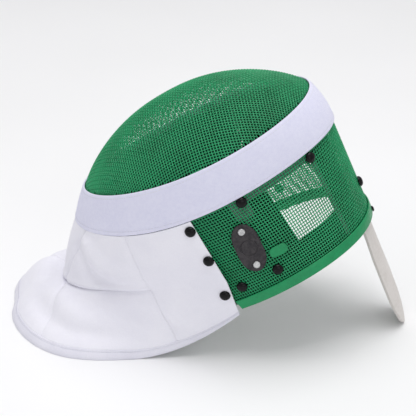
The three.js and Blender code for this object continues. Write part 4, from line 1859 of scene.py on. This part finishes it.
@dataclass
class Linings:
    """Pads and tapes inside the cage that show through the mesh."""

    cage: Cage = Cage()
    outer: float = -3.4
    inner: float = -9.2
    fill: float = 0.7
    chin_low: Outline = (
        (74, 0.98), (93, 0.42), (120, 0.36), (180, 0.62), (240, 0.36), (267, 0.42), (286, 0.98),
    )
    cheek_top: Outline = (
        (34, 0.36), (61.4, 0.335), (61.8, 0.93), (74, 0.95), (80, 1.2), (120, 1.2),
    )
    cheek_gap: float = 0.012
    pad_low: float = 0.03
    pad_high: float = 1.88
    brow_low: float = 1.06
    joint_top: float = 0.75
    joint_reach: tuple[float, float] = (0.05, 0.04)
    right_low: float = 0.42
    right_top: float = 1.05
    right_gap: float = 0.01
    right_step: tuple[float, float] = (-75.5, 0.1)
    tape_high: float = 0.99
    top_tape_low: float = 0.92
    top_tape_drop: float = 0.2
    top_tape_step: tuple[float, float] = (71.0, 72.0)
    widest_tape: float = 12.0
    tape_outer: float = -2.65
    tape_thick: float = 0.6

    def chin_edge(self, degrees: Array) -> Array:
        """Lower edge of the chin pad."""
        return np.interp(degrees, *np.array(self.chin_low).T)

    def cheek_edge(self, degrees: Array) -> Array:
        """Upper edge of the cheek pad, which stops just under the chin pad."""
        top = np.interp(degrees, *np.array(self.cheek_top).T)
        return np.minimum(top, self.chin_edge(degrees) - self.cheek_gap)

    def right_edge(self, degrees: Array) -> Array:
        """Upper edge of the right lining: under the chin pad's edge, and higher past that pad's end."""
        end, rise = self.right_step
        under = self.chin_edge(degrees + 360) - self.right_gap
        return np.minimum(self.right_top, under + rise * (degrees > end))

    def joint_low(self, degrees: Array) -> Array:
        """Lower edge of the strip over the joint of chin pad and cheek pad."""
        return np.minimum(self.chin_edge(degrees), self.joint_top) - self.joint_reach[0]

    def joint_high(self, degrees: Array) -> Array:
        """Upper edge of that strip."""
        return np.minimum(self.chin_edge(degrees), self.joint_top) + self.joint_reach[1]

    def top_edge(self, degrees: Array) -> Array:
        """Lower edge of the top tape, whose end widens towards the strap plate."""
        return self.top_tape_low - self.top_tape_drop * smooth(degrees, *self.top_tape_step)

    def build(self) -> None:
        """Make the pads and tapes."""
        low, high, end = level(self.pad_low), level(self.pad_high), level(self.tape_high)
        chin, joint, brow = self.chin_edge, (self.joint_low, self.joint_high), level(self.brow_low)
        right = (level(self.right_low), self.right_edge)
        for patch, columns, rows in (
            (Patch("chin_padding", "chin_pad", (75.6, 284.4), chin, high, Finish.NAVY), 150, 40),
            (Patch("brow_padding", "brow_pad", (-75.4, 75.4), brow, high), 110, 16),
            (Patch("cheek_padding_left", "cheek_pad", (34.0, 107.5), low, self.cheek_edge), 90, 30),
        ):
            self.pad(patch, columns, rows)
        for patch in (
            Patch("pad_joint_cloth", "cheek_pad", (72, 112), *joint),
            Patch("cheek_lining_right", "cheek_pad_right", (-88, -31), *right),
            Patch("crown_lining_cloth", "crown_lining", (17, 32.7), low, level(self.right_top)),
            Patch("back_tape", "lining_tape_back", (33, 36.2), low, end, Finish.TAPE),
            Patch("top_tape", "lining_tape_top", (36.6, 79), self.top_edge, end, Finish.TAPE),
        ):
            self.tape(patch)

    def pad(self, patch: Patch, columns: int, rows: int) -> None:
        """Make one pad, rounded at its edges.

        Args:
            patch: the part of the cage that it covers.
            columns: faces along it.
            rows: faces from its lower to its upper edge.
        """
        middle, half = (self.outer + self.inner) / 2, (self.outer - self.inner) / 2

        def place(u: Array, v: Array) -> tuple[Array, Array]:
            """Points and cloth coordinates of the pad's two faces, the outer one first."""
            back = v > 0.5
            share = np.where(back, 2 - 2 * v, 2 * v)
            angle, up, cloth = patch.at(u, share)
            rim = np.minimum(np.minimum(share, 1 - share) * rows / 3, np.minimum(u, 1 - u) * columns / 2)
            round_off = half * np.sqrt(1 - (1 - np.clip(rim, 0, 1)) ** 2)
            return self.cage.off(angle, up, middle + np.where(back, -round_off, round_off)), cloth

        piece = grid(patch.name, columns, rows * 2, place, weld=True)
        merge(piece, 1e-5)
        facing_out(piece)
        hand_over(piece, patch.finish, patch.node)

    def tape(self, patch: Patch) -> None:
        """Args:
            patch: the part of the cage that it covers.
        """

        def place(u: Array, v: Array) -> tuple[Array, Array]:
            """Points and cloth coordinates of the tape."""
            angle, up, cloth = patch.at(u, v)
            return self.cage.off(angle, up, np.full_like(up, self.tape_outer)), cloth

        piece = grid(patch.name, 40, 24, place, flip=True)
        modify(piece, "SOLIDIFY", thickness=self.tape_thick * MM, offset=-1)
        hand_over(piece, patch.finish, patch.node)
        angle, up, _ = patch.at(np.full(60, 0.5), np.linspace(0, 1, 60))
        tall = float(lengths(self.cage.point(angle, up))[-1]) * MM


# studio


@dataclass
class Studio:
    """Pale floor that curves up behind the mask, soft lights and the camera."""

    azimuth: float = 3.0
    elevation: float = 24.4
    distance: float = 1.5
    lens: float = 122.02
    look_at: tuple[float, float, float] = (0.003336, 0.0, 0.1273)
    floor_size: tuple[float, float] = (9.0, 8.5)
    floor_front: float = 3.0
    bend_from: float = 2.2
    bend_run: float = 1.4
    bend_rise: float = 0.9
    paper: tuple[Colour, Colour] = ((0.9, 0.9, 0.905), (0.915, 0.915, 0.92))
    paper_roughness: tuple[float, float] = (0.62, 0.7)
    lit_spot: tuple[float, float, float] = (0, 0, 0.1)
    sky_colour: tuple[float, float, float, float] = (0.985, 0.985, 1.0, 1)
    sky_strength: float = 0.62
    lamps: tuple[tuple, ...] = (
        ("key", (0.1, 0.05, 2.3), 1.7, 27, (1.0, 0.995, 0.99)),
        ("spark", (-0.1, -0.9, 2.2), 0.12, 1.2, (1.0, 1.0, 1.0)),
        ("fill", (0.9, -2.0, 1.0), 1.4, 5, (0.98, 0.99, 1.0)),
    )

    def build(self) -> None:
        """Set up the floor, lights, sky and camera."""
        self.floor()
        for lamp in self.lamps:
            self.light(*lamp)
        self.sky()
        self.camera()

    def floor(self) -> None:
        """Bend a grid into a sweep of pale paper."""

        def place(u: Array, v: Array) -> tuple[Array, Array]:
            """Points of the paper: flat, then curving up at the back."""
            x = (u - 0.5) * self.floor_size[0]
            run = v * self.floor_size[1] - self.floor_front
            past = run - self.bend_from
            angle = np.clip(past / self.bend_run, 0, 1) * math.pi / 2
            y = np.where(past < 0, run, self.bend_from + self.bend_rise * np.sin(angle))
            wall = np.clip(past - self.bend_run, 0, None)
            z = np.where(past < 0, 0, self.bend_rise * (1 - np.cos(angle)) + wall)
            return np.stack([x, y, z], axis=-1), np.stack([x, run], axis=-1)

        paper = grid("paper_sweep", 8, 120, place)
        recipe = Recipe("studio_paper")
        mottle = recipe.noise(0.4, 2, 0.4)
        tone = recipe.between(mottle, (0, 1))
        recipe.plain(
            Base_Color=recipe.blend(tone, *self.paper),
            Roughness=recipe.between(mottle, self.paper_roughness),
        )
        paper.data.materials.append(recipe.material)

    def light(
        self, name: str, place: tuple[float, float, float], size: float, power: float, tint: Colour
    ) -> None:
        """Hang a soft square light that faces the mask.

        Args:
            name: the light's name.
            place: where it hangs.
            size: its side in metres.
            power: its power in watts.
            tint: its colour.
        """
        data = bpy.data.lights.new(name, "AREA")
        data.shape = "SQUARE"
        data.size = size
        data.energy = power
        data.color = tint
        lamp = bpy.data.objects.new(name, data)
        lamp.location = place
        aim = Vector(self.lit_spot) - Vector(place)
        lamp.rotation_euler = aim.to_track_quat("-Z", "Y").to_euler()
        bpy.context.collection.objects.link(lamp)

    def sky(self) -> None:
        """Even pale light from all round."""
        world = bpy.data.worlds.new("studio_air")
        world.use_nodes = True
        background = world.node_tree.nodes["Background"]
        background.inputs["Color"].default_value = self.sky_colour
        background.inputs["Strength"].default_value = self.sky_strength
        bpy.context.scene.world = world
        bpy.context.scene.view_settings.view_transform = "Standard"

    def camera(self) -> None:
        """Stand the camera at the photograph's angle."""
        turn, tilt = math.radians(self.azimuth), math.radians(self.elevation)
        right = Vector((math.cos(turn), math.sin(turn), 0))
        ahead = Vector((-math.sin(turn) * math.cos(tilt), math.cos(turn) * math.cos(tilt), -math.sin(tilt)))
        up = right.cross(ahead)
        data = bpy.data.cameras.new("camera")
        data.lens = self.lens
        data.sensor_width = 36
        data.clip_end = 40
        eye = bpy.data.objects.new("camera", data)
        place = Vector(self.look_at) - ahead * self.distance
        axes = Matrix((right, up, -ahead)).transposed().to_4x4()
        eye.matrix_world = Matrix.Translation(place) @ axes
        bpy.context.collection.objects.link(eye)
        bpy.context.scene.camera = eye


def main() -> None:
    """Build the mask from the cage outwards, then the studio."""
    logging.basicConfig(level=logging.INFO, format="%(name)s %(message)s")
    for maker in (WireCage(), Trim(), Linings(), Bib(), Tongue(), Fastenings(), Studio()):
        maker.build()
        LOG.info("%s done", type(maker).__name__)


if __name__ == "__main__":
    main()
